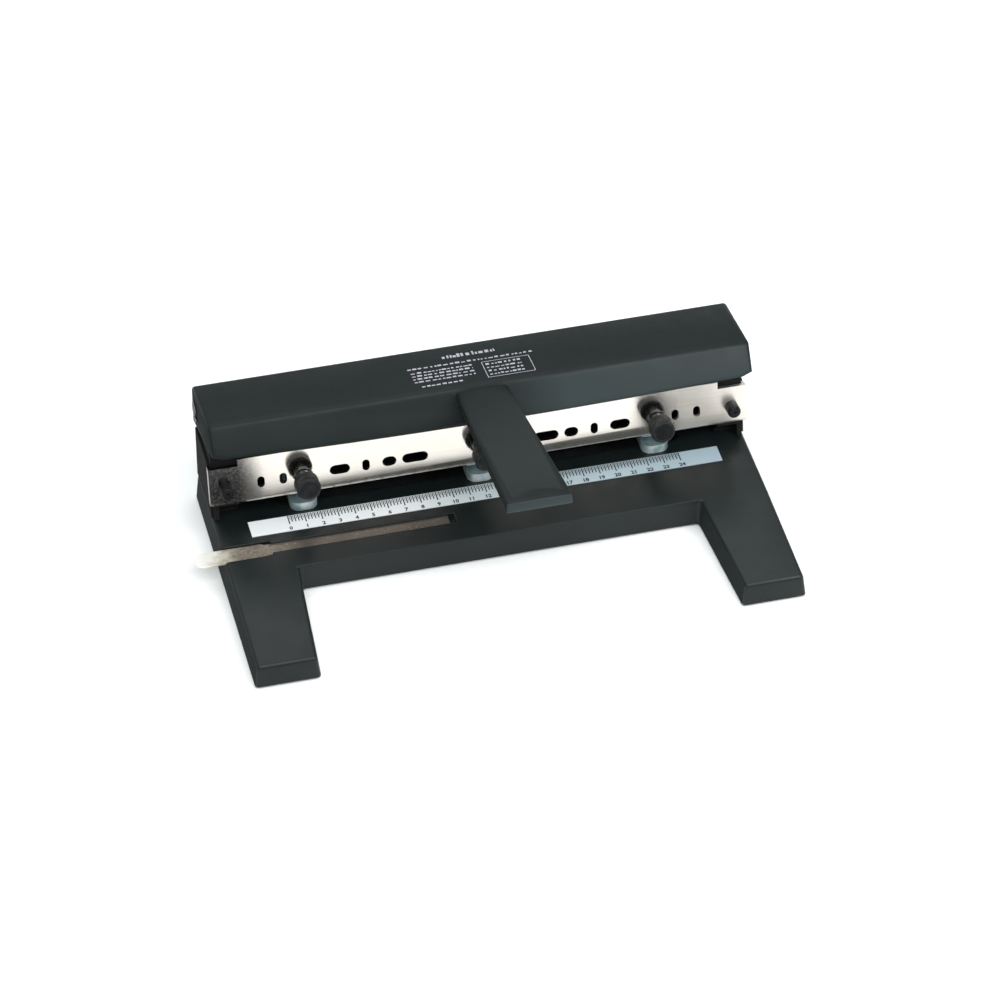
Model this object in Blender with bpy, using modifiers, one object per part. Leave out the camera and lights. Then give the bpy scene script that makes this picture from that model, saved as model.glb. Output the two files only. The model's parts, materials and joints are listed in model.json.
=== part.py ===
"""Adjustable two- to seven-hole paper punch, set up with three punch heads.

A cast base with two forward legs carries two side frames. A slotted template bar joins the
frames at the front, a pivot shaft at the back. The lever cover turns on the shaft, and the rod
inside it presses three spring-loaded punch pins down through their dies. Each head hangs on a
rail, and a thumbscrew through the template bar clamps it.

Local frame: x runs along the bar, y = 0 at the tips of the legs and grows to the back,
z = 0 is the table. The root empty then moves the whole punch so that the world origin lies at
the bottom centre of its bounding box. All sizes are in metres.
"""

import math

import bmesh
import bpy
from mathutils import Matrix, Vector

NAME = "hole_punch"
GAP = 0.0003  # between faces that rest on each other
RUNNING = 0.00008  # radial play of a shaft in its hole
THROUGH = 0.002  # how far a cutter runs past the wall that it cuts

# Base casting
BASE_HALF_WIDTH = 0.1652
BASE_DEPTH = 0.1747
BASE_BOTTOM = 0.0015
BASE_TOP = 0.0183
BASE_DRAFT = 0.0016
LEG_TIP_WIDTH = 0.0389
LEG_ROOT_WIDTH = 0.0443
CROSSBAR_FRONT = 0.0764
LEG_TIP_DROP = 0.0026
BASE_ROUND = 0.0022
BASE_WALL = 0.004
BASE_SKIN = 0.0040
LEG_POCKET_FRONT = 0.022
LEG_POCKET_BACK = 0.073
CAVITY_HALF_WIDTH = 0.140
CAVITY_FRONT = 0.081
CHIP_SLOT_HALF_WIDTH = 0.125
CHIP_SLOT_FRONT = 0.1350
CHIP_SLOT_BACK = 0.1460

# Feet, bottom plate and chip tray
FOOT_RADIUS = 0.0065
FOOT_STEM_RADIUS = 0.0020
FOOT_STEM_TOP = 0.0065
FOOT_PLACES = {
    "front_left": (-0.1450, 0.0110),
    "front_right": (0.1450, 0.0110),
    "rear_left": (-0.1470, 0.1510),
    "rear_right": (0.1470, 0.1510),
}
PLATE_THICKNESS = 0.0015
PLATE_SCREW_X = 0.132
PLATE_SCREW_Y = (0.0870, 0.1080)
PLATE_SCREW_TOP = 0.0085
PLATE_BOSS_RADIUS = 0.0040
PLATE_BOSS_BOTTOM = 0.0040
TRAY_HALF_WIDTH = 0.128
TRAY_FRONT = 0.117
TRAY_WALL = 0.0016
TRAY_BOTTOM = 0.0037
TRAY_TOP = 0.0130
TAB_HALF_WIDTH = 0.020
TAB_BOTTOM = 0.0075
TAB_TOP = 0.0100
TRAY_REAR = BASE_DEPTH - 0.0002
TRAY_REAR_WALL = 0.0024
TAB_REAR = 0.1790

# Ruler strip and edge guide, both let into the top of the base
RULER_HALF_LENGTH = 0.1442
RULER_MIDDLE_X = 0.0006
RULER_FRONT = 0.1097
RULER_BACK = 0.1230
RULER_THICKNESS = 0.0007
RULER_PROUD = 0.0003
GUIDE_LEFT = -0.1800
GUIDE_RIGHT = -0.0270
GUIDE_MIDDLE_Y = 0.0978
GUIDE_WIDTH = 0.0094
GUIDE_THICKNESS = 0.0012
GUIDE_WIDE_WIDTH = 0.0122
GUIDE_WIDE_END = -0.1400
GUIDE_WIDE_TRAVEL = 0.0055
GUIDE_CORNER = 0.0045
GUIDE_LIP = 0.0005
GROOVE_RIGHT = -0.0235
GROOVE_DEPTH = 0.0025
GROOVE_LIP_DEPTH = 0.0007

# Template bar: it leans back, so its front face is a sloping plane
BAR_LEAN = math.radians(10.0)
BAR_BOTTOM = 0.0313
BAR_BOTTOM_Y = 0.1271
BAR_HALF_LENGTH = 0.1645
BAR_MAIN_HALF_LENGTH = 0.1467
BAR_HEIGHT = 0.0296
BAR_END_HEIGHT = 0.0250
BAR_THICKNESS = 0.0025
BAR_END_DEPTH = 0.0055
BAR_END_THICKNESS = 0.0019
SLOT_LINE = 0.0119
TALL_SLOT = (0.0044, 0.0074)
SHORT_SLOT = (0.0086, 0.0063)
CLAMP_SLOT = (0.0123, 0.0063)
BAR_SLOTS = {
    0.0400: (0.0158, 0.0063),
    0.0557: SHORT_SLOT,
    0.0699: TALL_SLOT,
    0.0858: CLAMP_SLOT,
    0.1080: CLAMP_SLOT,
    0.1200: TALL_SLOT,
    0.1334: TALL_SLOT,
}
BAR_SCREW_X = 0.1548
BAR_SCREW_RADIUS = 0.0019

# Side frames, back panel, rail and pivot shaft
FRAME_OUTER_X = 0.1621
FRAME_THICKNESS = 0.0030
FLANGE_INNER_X = 0.1467
FLANGE_THICKNESS = 0.0025
FLANGE_BOTTOM = 0.0280
FLANGE_TOP = 0.0620
FRAME_REAR = 0.1720
FRAME_STEP_INNER = 0.1616
FRAME_STEP_OUTER = 0.1638
FRAME_STEP_TOP = 0.0555
FRAME_STEP_REAR = 0.1732
FRAME_STEP_DEPTH = 0.0060
FRAME_FOOT_FRONT = 0.1360
FRAME_FOOT_BACK = 0.1685
FRAME_FOOT_THICKNESS = 0.0025
FRAME_SCREW_X = 0.1530
FRAME_SCREW_Y = (0.1420, 0.1610)
FRAME_SCREW_RADIUS = 0.0018
PANEL_REAR = 0.1716
PANEL_THICKNESS = 0.0020
PANEL_TOP = 0.0600
PIVOT_Y = 0.1665
PIVOT_Z = 0.0730
PIVOT_RADIUS = 0.0030
PIVOT_HALF_LENGTH = 0.1652
PIVOT_BOSS = 0.0055
PIVOT_CLIP_RADIUS = 0.0064
PIVOT_CLIP_THICKNESS = 0.0006
RAIL_RADIUS = 0.0035
RAIL_Y = 0.1580
RAIL_Z = 0.0380

# Lever cover. Its side outline is given about the pivot, at rest: back and forward, then up.
COVER_HALF_LENGTH = 0.1641
COVER_WALL = 0.0022
COVER_END_WALL = 0.0017
COVER_TOP_REAR = (0.0115, 0.0106)
COVER_TOP_FRONT = (-0.0385, 0.0194)
COVER_FRONT_LOWER = (-0.0487, 0.0040)
COVER_REAR_LOWER = (0.0115, -0.0148)
COVER_MOUTH_DROP = 0.012
COVER_ROUND = 0.0020
APRON_HALF_LENGTH = 0.1570
APRON_DROP = 0.0020
APRON_BOW = 0.0026

# Lever. In its own frame y runs back from the tip along its top and z points out of its top.
LEVER_TIP_Y = -0.0102
LEVER_TIP_Z = 0.1225
LEVER_TIP_HALF_WIDTH = 0.0194
LEVER_ROOT_HALF_WIDTH = 0.0155
LEVER_CROWN = 0.0020
LEVER_THICKNESS = 0.0085
LEVER_SKIN = 0.0030
LEVER_WALL = 0.0026
LEVER_BEVEL_LENGTH = 0.0110
LEVER_POCKET_START = 0.0170
LEVER_POCKET_MARGIN = 0.0220
LEVER_ROOT_DROP = 0.0010
LEVER_RUN = PIVOT_Y + COVER_TOP_FRONT[0] - LEVER_TIP_Y
LEVER_FALL = LEVER_TIP_Z - PIVOT_Z - COVER_TOP_FRONT[1] + LEVER_ROOT_DROP
LEVER_SLOPE = math.atan2(LEVER_FALL, LEVER_RUN)
LEVER_LENGTH = math.hypot(LEVER_RUN, LEVER_FALL)

# Press rod under the cover
PRESS_RADIUS = 0.0040
PRESS_HALF_LENGTH = 0.1450
PRESS_RIB_X = (0.054, 0.140)
PRESS_RIB_HALF_DEPTH = 0.0065
PRESS_RIB_THICKNESS = 0.0030

# Punch heads
HEAD_NAMES = {"left": -0.108, "center": 0.0, "right": 0.108}
HEAD_WIDTH = 0.0165
HEAD_FRONT = 0.1256
HEAD_BACK = 0.1640
HEAD_TOP = 0.0520
JAW_TOP = 0.0243
HEAD_NOSE_ROUND = 0.0055
THROAT_TOP = 0.0292
THROAT_BACK = 0.1520
PIN_Y = 0.1405
PIN_RADIUS = 0.0035
PIN_TIP = 0.0296
PIN_CAP_BOTTOM = 0.0665
PIN_CAP_TOP = 0.0695
PIN_CAP_RADIUS = 0.0055
DIE_RADIUS = 0.0055
DIE_BOTTOM = 0.0195
DIE_SEAT_RADIUS = 0.0043
SPRING_RADIUS = 0.0048
SPRING_WIRE = 0.0011
SPRING_TURNS = 5
THUMB_SHANK_RADIUS = 0.0025
THUMB_SHANK_DEPTH = 0.0070
THUMB_NECK_RADIUS = 0.0045
THUMB_HEAD_RADIUS = 0.0074
THUMB_HEAD_START = 0.0078
THUMB_HEAD_END = 0.0180

# Where the local origin lies, so that the bounding box's bottom centre is the world origin
FOREMOST_Y = LEVER_TIP_Y - LEVER_THICKNESS * math.sin(LEVER_SLOPE)
ROOT_PLACE = (-(GUIDE_LEFT + BASE_HALF_WIDTH) / 2, -(FOREMOST_Y + TAB_REAR) / 2, 0.0)

# Colours: base colour, metallic, roughness
FINISHES = {
    "black_paint": ((0.020, 0.023, 0.023), 0.0, 0.45),
    "nickel": ((0.86, 0.82, 0.77), 1.0, 0.30),
    "zinc": ((0.48, 0.56, 0.57), 1.0, 0.38),
    "steel": ((0.55, 0.54, 0.52), 1.0, 0.32),
    "dark_steel": ((0.06, 0.06, 0.065), 0.8, 0.38),
    "ruler_white": ((0.75, 0.80, 0.85), 0.0, 0.45),
    "rubber": ((0.02, 0.02, 0.02), 0.0, 0.85),
    "tray_plastic": ((0.03, 0.03, 0.032), 0.0, 0.55),
}

# Axes that turn a flat outline's plane and its thickness into the object's frame
PLANE_YZ = Matrix(((0, 0, 1, 0), (1, 0, 0, 0), (0, 1, 0, 0), (0, 0, 0, 1)))
PLANE_XZ = Matrix.Rotation(math.radians(90.0), 4, "X")
FLAT = Matrix.Identity(4)
ALONG_X = Matrix.Rotation(math.radians(90.0), 4, "Y")


def clear_scene():
    for obj in list(bpy.data.objects):
        bpy.data.objects.remove(obj, do_unlink=True)


def make_collection(name):
    collection = bpy.data.collections.new(name)
    bpy.context.scene.collection.children.link(collection)
    return collection


def make_material(name, colour, metallic, roughness):
    material = bpy.data.materials.new(name)
    material.use_nodes = True
    shader = material.node_tree.nodes["Principled BSDF"]
    shader.inputs["Base Color"].default_value = (*colour, 1.0)
    shader.inputs["Metallic"].default_value = metallic
    shader.inputs["Roughness"].default_value = roughness
    return material


clear_scene()
PARTS = make_collection(NAME)
CUTTERS = make_collection(f"{NAME}_cutters")


def add_mesh(name, bm, finish=None, matrix=FLAT):
    """A mesh object from bm. Without a finish it is a cutter or a tool for a Boolean."""
    bmesh.ops.remove_doubles(bm, verts=bm.verts, dist=1e-6)
    bmesh.ops.recalc_face_normals(bm, faces=bm.faces)
    mesh = bpy.data.meshes.new(name)
    bm.to_mesh(mesh)
    bm.free()
    mesh.transform(matrix)
    obj = bpy.data.objects.new(name, mesh)
    if finish:
        PARTS.objects.link(obj)
        colour, metallic, roughness = FINISHES[finish]
        obj.data.materials.append(make_material(name, colour, metallic, roughness))
    else:
        CUTTERS.objects.link(obj)
        obj.hide_render = True
        obj.display_type = "WIRE"
    return obj


def smooth(obj, angle=35.0):
    obj.data.shade_smooth()
    obj.data.set_sharp_from_angle(angle=math.radians(angle))
    return obj


def plate(name, outlines, thickness, finish=None, matrix=FLAT):
    """A flat plate from closed outlines, the first its edge and the others its holes."""
    curve = bpy.data.curves.new(name, "CURVE")
    curve.dimensions = "2D"
    curve.fill_mode = "BOTH"
    curve.extrude = thickness / 2
    for outline in outlines:
        spline = curve.splines.new("POLY")
        spline.points.add(len(outline) - 1)
        for point, (u, v) in zip(spline.points, outline):
            point.co = (u, v, 0.0, 1.0)
        spline.use_cyclic_u = True
    source = bpy.data.objects.new(name, curve)
    bpy.context.scene.collection.objects.link(source)
    depsgraph = bpy.context.evaluated_depsgraph_get()
    filled = bpy.data.meshes.new_from_object(source.evaluated_get(depsgraph))
    bpy.data.objects.remove(source, do_unlink=True)
    bm = bmesh.new()
    bm.from_mesh(filled)
    bpy.data.meshes.remove(filled)
    bmesh.ops.remove_doubles(bm, verts=bm.verts, dist=1e-6)
    bmesh.ops.dissolve_limit(bm, angle_limit=0.001, verts=bm.verts, edges=bm.edges)
    return add_mesh(name, bm, finish, matrix)


def loft(name, lower, upper, finish=None):
    """A closed solid between two outlines that have the same number of points."""
    bm = bmesh.new()
    low = [bm.verts.new(point) for point in lower]
    high = [bm.verts.new(point) for point in upper]
    bm.faces.new(low)
    bm.faces.new(high)
    for i in range(len(low)):
        j = (i + 1) % len(low)
        bm.faces.new((low[i], low[j], high[j], high[i]))
    return add_mesh(name, bm, finish)


def box(name, low, high, finish=None, matrix=FLAT):
    bm = bmesh.new()
    bmesh.ops.create_cube(bm, size=1.0)
    size = Vector(high) - Vector(low)
    middle = (Vector(high) + Vector(low)) / 2
    bmesh.ops.scale(bm, vec=size, verts=bm.verts)
    bmesh.ops.translate(bm, vec=middle, verts=bm.verts)
    return add_mesh(name, bm, finish, matrix)


def rod(name, radius, length, matrix, finish=None, segments=24):
    """A cylinder along the local z axis, centred where the matrix puts its origin."""
    bm = bmesh.new()
    bmesh.ops.create_cone(
        bm, cap_ends=True, segments=segments, radius1=radius, radius2=radius, depth=length
    )
    return smooth(add_mesh(name, bm, finish, matrix))


def turned(name, profile, finish, matrix=FLAT, ring=False, steps=24):
    """A profile of (radius, height), given from the top down, turned about the local z axis."""
    bm = bmesh.new()
    verts = [bm.verts.new((radius, 0.0, height)) for radius, height in profile]
    for first, second in zip(verts, verts[1:]):
        bm.edges.new((first, second))
    if ring:
        bm.edges.new((verts[-1], verts[0]))
    obj = add_mesh(name, bm, finish)
    obj.matrix_world = matrix
    screw = obj.modifiers.new("turn", "SCREW")
    screw.steps = steps
    screw.render_steps = steps
    screw.use_merge_vertices = True
    screw.merge_threshold = 0.00001
    return obj


def combine(obj, tool, operation="DIFFERENCE"):
    modifier = obj.modifiers.new(tool.name, "BOOLEAN")
    modifier.operation = operation
    modifier.solver = "EXACT"
    modifier.object = tool
    return obj


def round_edges(obj, width, segments=2, angle=30.0):
    bevel = obj.modifiers.new("round", "BEVEL")
    bevel.width = width
    bevel.segments = segments
    bevel.limit_method = "ANGLE"
    bevel.angle_limit = math.radians(angle)
    return obj


def round_sharp(obj, width, segments, chosen):
    """Rounds the sharp edges of a mesh that pass a test on their two ends."""
    bm = bmesh.new()
    bm.from_mesh(obj.data)
    sharp = [edge for edge in bm.edges if edge.calc_face_angle(0.0) > math.radians(20.0)]
    edges = [edge for edge in sharp if chosen(edge.verts[0].co, edge.verts[1].co)]
    bmesh.ops.bevel(bm, geom=edges, offset=width, segments=segments, affect="EDGES", profile=0.5)
    bm.to_mesh(obj.data)
    bm.free()
    return obj


def arc(centre, radius, start, end, steps):
    """Points on a circle from one angle to another, in degrees."""
    angles = (math.radians(start + (end - start) * i / steps) for i in range(steps + 1))
    return [(centre[0] + radius * math.cos(a), centre[1] + radius * math.sin(a)) for a in angles]


def oblong(centre, width, height, steps=6):
    """The outline of a slot with round ends, wide or tall."""
    radius = min(width, height) / 2
    reach_u = width / 2 - radius
    reach_v = height / 2 - radius
    u, v = centre
    if reach_u >= reach_v:
        right = arc((u + reach_u, v), radius, -90, 90, steps)
        left = arc((u - reach_u, v), radius, 90, 270, steps)
        return right + left
    top = arc((u, v + reach_v), radius, 0, 180, steps)
    bottom = arc((u, v - reach_v), radius, 180, 360, steps)
    return top + bottom


def place(x, y, z):
    return Matrix.Translation((x, y, z))


def along_x(x, y, z):
    return place(x, y, z) @ ALONG_X


def bar_frame(x, height, depth):
    """Local axes on the bar: x along it, y up its slope, z out of its front face."""
    upright = Matrix.Rotation(math.radians(90.0) - BAR_LEAN, 4, "X")
    foot = place(x, BAR_BOTTOM_Y, BAR_BOTTOM)
    return foot @ upright @ place(0.0, height, depth)


def behind_bar(z):
    """How far back a piece begins that lies against the bar's rear face, at height z."""
    front = BAR_BOTTOM_Y + (z - BAR_BOTTOM) * math.tan(BAR_LEAN)
    return front + (BAR_THICKNESS + GAP) / math.cos(BAR_LEAN)


def set_origin(obj, point):
    obj.data.transform(Matrix.Translation(-Vector(point)))
    obj.location = point
    return obj


def base_outline(inset, z):
    """The base's U outline, seen from above, moved inwards by the draft."""
    side = BASE_HALF_WIDTH - inset
    tip = BASE_HALF_WIDTH - LEG_TIP_WIDTH + inset
    root = BASE_HALF_WIDTH - LEG_ROOT_WIDTH + inset
    back = BASE_DEPTH - inset / 4
    crossbar = CROSSBAR_FRONT + inset
    right = [(side, back), (side, inset), (tip, inset), (root, crossbar)]
    left = [(-u, v) for u, v in reversed(right)]
    return [Vector((u, v, z)) for u, v in right + left]


def base_block():
    """The solid casting: its legs slope down a little towards their tips."""
    lower = base_outline(0.0, BASE_BOTTOM)
    upper = base_outline(BASE_DRAFT, BASE_TOP)
    block = loft("base", lower, upper, "black_paint")
    bm = bmesh.new()
    bm.from_mesh(block.data)
    everything = bm.verts[:] + bm.edges[:] + bm.faces[:]
    fold = (0.0, CROSSBAR_FRONT + BASE_DRAFT, 0.0)
    bmesh.ops.bisect_plane(bm, geom=everything, dist=1e-6, plane_co=fold, plane_no=(0.0, 1.0, 0.0))
    for vert in bm.verts:
        if vert.co.z > BASE_TOP - 0.001 and vert.co.y < 0.01:
            vert.co.z -= LEG_TIP_DROP
    bm.to_mesh(block.data)
    bm.free()
    return round_sharp(block, BASE_ROUND, 3, lambda a, b: max(a.z, b.z) > BASE_BOTTOM + 0.005)


def cut_leg_pockets(base, below, roof):
    """Both legs are hollow from below, like the crossbar."""
    for side, sign in (("left", -1), ("right", 1)):
        outer = sign * (BASE_HALF_WIDTH - BASE_DRAFT - BASE_WALL)
        inner_tip = sign * (BASE_HALF_WIDTH - LEG_TIP_WIDTH + BASE_DRAFT + BASE_WALL)
        inner_root = sign * (BASE_HALF_WIDTH - LEG_ROOT_WIDTH + BASE_DRAFT + BASE_WALL)
        outline = [(outer, LEG_POCKET_FRONT), (inner_tip, LEG_POCKET_FRONT)]
        outline += [(inner_root, LEG_POCKET_BACK), (outer, LEG_POCKET_BACK)]
        low = [Vector((u, v, below)) for u, v in outline]
        high = [Vector((u, v, roof - LEG_TIP_DROP)) for u, v in outline]
        combine(base, loft(f"{side}_leg_pocket", low, high))


def add_plate_bosses(base, roof):
    """Four bosses hang from the roof of the crossbar and take the bottom plate's screws."""
    top = roof + BASE_SKIN / 2
    middle = (PLATE_BOSS_BOTTOM + top) / 2
    height = top - PLATE_BOSS_BOTTOM
    for row, y in enumerate(PLATE_SCREW_Y):
        for side, sign in (("left", -1), ("right", 1)):
            x = sign * PLATE_SCREW_X
            boss = rod(f"plate_boss_{side}_{row}", PLATE_BOSS_RADIUS, height, place(x, y, middle))
            combine(base, boss, "UNION")
            hole = rod(f"plate_hole_{side}_{row}", 0.0014, 0.018, place(x, y, 0.0))
            combine(base, hole)


def cut_chip_openings(base, below):
    """Chips fall through the long slot in the roof, and the tray slides in from the back."""
    slot_middle = (CHIP_SLOT_FRONT + CHIP_SLOT_BACK) / 2
    slot_width = CHIP_SLOT_BACK - CHIP_SLOT_FRONT
    slot = oblong((0.0, slot_middle), 2 * CHIP_SLOT_HALF_WIDTH, slot_width)
    combine(base, plate("chip_slot", [slot], 0.020, None, place(0.0, 0.0, BASE_TOP)))
    tray_door = box(
        "tray_door",
        (-TRAY_HALF_WIDTH - 0.0005, BASE_DEPTH - BASE_WALL - THROUGH, below),
        (TRAY_HALF_WIDTH + 0.0005, BASE_DEPTH + THROUGH, TRAY_TOP + 0.0005),
    )
    combine(base, tray_door)


def cut_ruler_recess(base):
    floor = BASE_TOP + RULER_PROUD - RULER_THICKNESS - GAP
    recess = box(
        "ruler_recess",
        (RULER_MIDDLE_X - RULER_HALF_LENGTH - GAP, RULER_FRONT - GAP, floor),
        (RULER_MIDDLE_X + RULER_HALF_LENGTH + GAP, RULER_BACK + GAP, BASE_TOP + THROUGH),
    )
    combine(base, recess)


def cut_guide_groove(base):
    """The groove's lips hold the narrow strip down; its wide end lies in an open stretch."""
    strip_half = GUIDE_WIDTH / 2 + GAP
    wide_half = GUIDE_WIDE_WIDTH / 2 + GAP
    mouth_half = GUIDE_WIDTH / 2 - GUIDE_LIP
    start = -BASE_HALF_WIDTH - THROUGH
    above = BASE_TOP + THROUGH
    wide = box(
        "groove_wide",
        (start, GUIDE_MIDDLE_Y - wide_half, BASE_TOP - GROOVE_DEPTH),
        (GUIDE_WIDE_END + GUIDE_WIDE_TRAVEL, GUIDE_MIDDLE_Y + wide_half, above),
    )
    mouth = box(
        "groove_mouth",
        (start, GUIDE_MIDDLE_Y - mouth_half, BASE_TOP - GROOVE_LIP_DEPTH - 0.0002),
        (GROOVE_RIGHT, GUIDE_MIDDLE_Y + mouth_half, above),
    )
    floor = box(
        "groove_floor",
        (start, GUIDE_MIDDLE_Y - strip_half, BASE_TOP - GROOVE_DEPTH),
        (GROOVE_RIGHT, GUIDE_MIDDLE_Y + strip_half, BASE_TOP - GROOVE_LIP_DEPTH),
    )
    for cutter in (wide, mouth, floor):
        combine(base, cutter)


def drill_base(base):
    """Holes for the stems of the feet and for the screws of the side frames."""
    for name, (x, y) in FOOT_PLACES.items():
        spot = place(x, y, 0.0)
        combine(base, rod(f"foot_hole_{name}", FOOT_STEM_RADIUS + GAP, 0.016, spot, segments=16))
    radius = FRAME_SCREW_RADIUS + GAP
    for side, sign in (("left", -1), ("right", 1)):
        for row, y in enumerate(FRAME_SCREW_Y):
            spot = place(sign * FRAME_SCREW_X, y, BASE_TOP)
            combine(base, rod(f"frame_hole_{side}_{row}", radius, 0.020, spot, segments=16))


def make_base():
    base = base_block()
    roof = BASE_TOP - BASE_SKIN
    below = BASE_BOTTOM - THROUGH
    cavity = box(
        "crossbar_cavity",
        (-CAVITY_HALF_WIDTH, CAVITY_FRONT, below),
        (CAVITY_HALF_WIDTH, BASE_DEPTH - BASE_WALL, roof),
    )
    combine(base, cavity)
    cut_leg_pockets(base, below, roof)
    add_plate_bosses(base, roof)
    cut_chip_openings(base, below)
    cut_ruler_recess(base)
    cut_guide_groove(base)
    drill_base(base)
    return smooth(base)


def make_feet():
    for name, (x, y) in FOOT_PLACES.items():
        top = BASE_BOTTOM - GAP
        profile = [
            (0.0, FOOT_STEM_TOP),
            (FOOT_STEM_RADIUS, FOOT_STEM_TOP),
            (FOOT_STEM_RADIUS, top),
            (FOOT_RADIUS, top),
            (FOOT_RADIUS, 0.0005),
            (FOOT_RADIUS - 0.0008, 0.0),
            (0.0, 0.0),
        ]
        turned(f"foot_{name}", profile, "rubber", place(x, y, 0.0), steps=20)


def make_bottom_plate():
    low = BASE_BOTTOM + 0.0003
    inner = CAVITY_HALF_WIDTH - GAP
    bottom = box(
        "bottom_plate",
        (-inner, CAVITY_FRONT + GAP, low),
        (inner, BASE_DEPTH - BASE_WALL - GAP, low + PLATE_THICKNESS),
        "dark_steel",
    )
    for row, y in enumerate(PLATE_SCREW_Y):
        for side, sign in (("left", -1), ("right", 1)):
            spot = place(sign * PLATE_SCREW_X, y, 0.0)
            combine(bottom, rod(f"plate_pass_{side}_{row}", 0.0015, 0.012, spot, segments=16))
            profile = [
                (0.0, PLATE_SCREW_TOP),
                (0.0011, PLATE_SCREW_TOP),
                (0.0011, low - GAP),
                (0.0026, low - GAP),
                (0.0026, low - 0.0012),
                (0.0, low - 0.0012),
            ]
            corner = ("front", "rear")[row]
            turned(f"plate_screw_{corner}_{side}", profile, "dark_steel", spot, steps=12)


def make_chip_tray():
    tray = box(
        "chip_tray",
        (-TRAY_HALF_WIDTH, TRAY_FRONT, TRAY_BOTTOM),
        (TRAY_HALF_WIDTH, TRAY_REAR, TRAY_TOP),
        "tray_plastic",
    )
    hollow = box(
        "tray_hollow",
        (-TRAY_HALF_WIDTH + TRAY_WALL, TRAY_FRONT + TRAY_WALL, TRAY_BOTTOM + TRAY_WALL),
        (TRAY_HALF_WIDTH - TRAY_WALL, TRAY_REAR - TRAY_REAR_WALL, TRAY_TOP + THROUGH),
    )
    combine(tray, hollow)
    tab = box(
        "tray_tab",
        (-TAB_HALF_WIDTH, TRAY_REAR - 0.001, TAB_BOTTOM),
        (TAB_HALF_WIDTH, TAB_REAR, TAB_TOP),
    )
    round_edges(tab, 0.0008, 2)
    combine(tray, tab, "UNION")
    return tray


def make_ruler_strip():
    low = BASE_TOP + RULER_PROUD - RULER_THICKNESS
    return box(
        "ruler_strip",
        (RULER_MIDDLE_X - RULER_HALF_LENGTH, RULER_FRONT, low),
        (RULER_MIDDLE_X + RULER_HALF_LENGTH, RULER_BACK, low + RULER_THICKNESS),
        "ruler_white",
    )


def make_edge_guide():
    """A flat strip that slides in the groove. Its outer end is wider, with rounded corners."""
    half = GUIDE_WIDTH / 2
    wide = GUIDE_WIDE_WIDTH / 2
    corner = GUIDE_CORNER
    outline = [(GUIDE_RIGHT, -half), (GUIDE_RIGHT, half)]
    outline += [(GUIDE_WIDE_END + 0.002, half), (GUIDE_WIDE_END, wide)]
    outline += arc((GUIDE_LEFT + corner, wide - corner), corner, 90, 180, 5)
    outline += arc((GUIDE_LEFT + corner, corner - wide), corner, 180, 270, 5)
    outline += [(GUIDE_WIDE_END, -wide), (GUIDE_WIDE_END + 0.002, -half)]
    middle = BASE_TOP - GROOVE_LIP_DEPTH - GAP - GUIDE_THICKNESS / 2
    spot = place(0.0, GUIDE_MIDDLE_Y, middle)
    return plate("edge_guide", [outline], GUIDE_THICKNESS, "steel", spot)


def make_template_bar():
    top = BAR_HEIGHT
    step = BAR_END_HEIGHT
    ledge = BAR_MAIN_HALF_LENGTH
    end = BAR_HALF_LENGTH
    edge = [(-end, 0.0), (end, 0.0), (end, step), (ledge, step), (ledge, top), (-ledge, top)]
    edge += [(-ledge, step), (-end, step)]
    outlines = [edge, oblong((0.0, SLOT_LINE), *CLAMP_SLOT)]
    for distance, (width, height) in BAR_SLOTS.items():
        for sign in (-1, 1):
            outlines.append(oblong((sign * distance, SLOT_LINE), width, height))
    for sign in (-1, 1):
        outlines.append(arc((sign * BAR_SCREW_X, SLOT_LINE), BAR_SCREW_RADIUS + GAP, 0, 337.5, 15))
    lying = bar_frame(0.0, 0.0, -BAR_THICKNESS / 2)
    bar = plate("template_bar", outlines, BAR_THICKNESS, "nickel", lying)
    inset = 0.0002
    for side, sign in (("left", -1), ("right", 1)):
        inner = sign * (end - BAR_END_THICKNESS)
        outer = sign * (end - inset)
        low = (min(inner, outer), inset, -BAR_END_DEPTH)
        high = (max(inner, outer), step - inset, -BAR_THICKNESS / 2)
        wing = box(f"bar_end_{side}", low, high, None, bar_frame(0.0, 0.0, 0.0))
        combine(bar, wing, "UNION")
    return bar


def make_bar_screws():
    for side, sign in (("left", -1), ("right", 1)):
        profile = [
            (0.0, 0.0086),
            (0.0014, 0.0086),
            (0.0034, 0.0081),
            (0.0040, 0.0072),
            (0.0040, 0.0003),
            (BAR_SCREW_RADIUS, 0.0003),
            (BAR_SCREW_RADIUS, -0.0075),
            (0.0, -0.0075),
        ]
        spot = bar_frame(sign * BAR_SCREW_X, SLOT_LINE, 0.0)
        turned(f"bar_screw_{side}", profile, "dark_steel", spot, steps=20)


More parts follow.
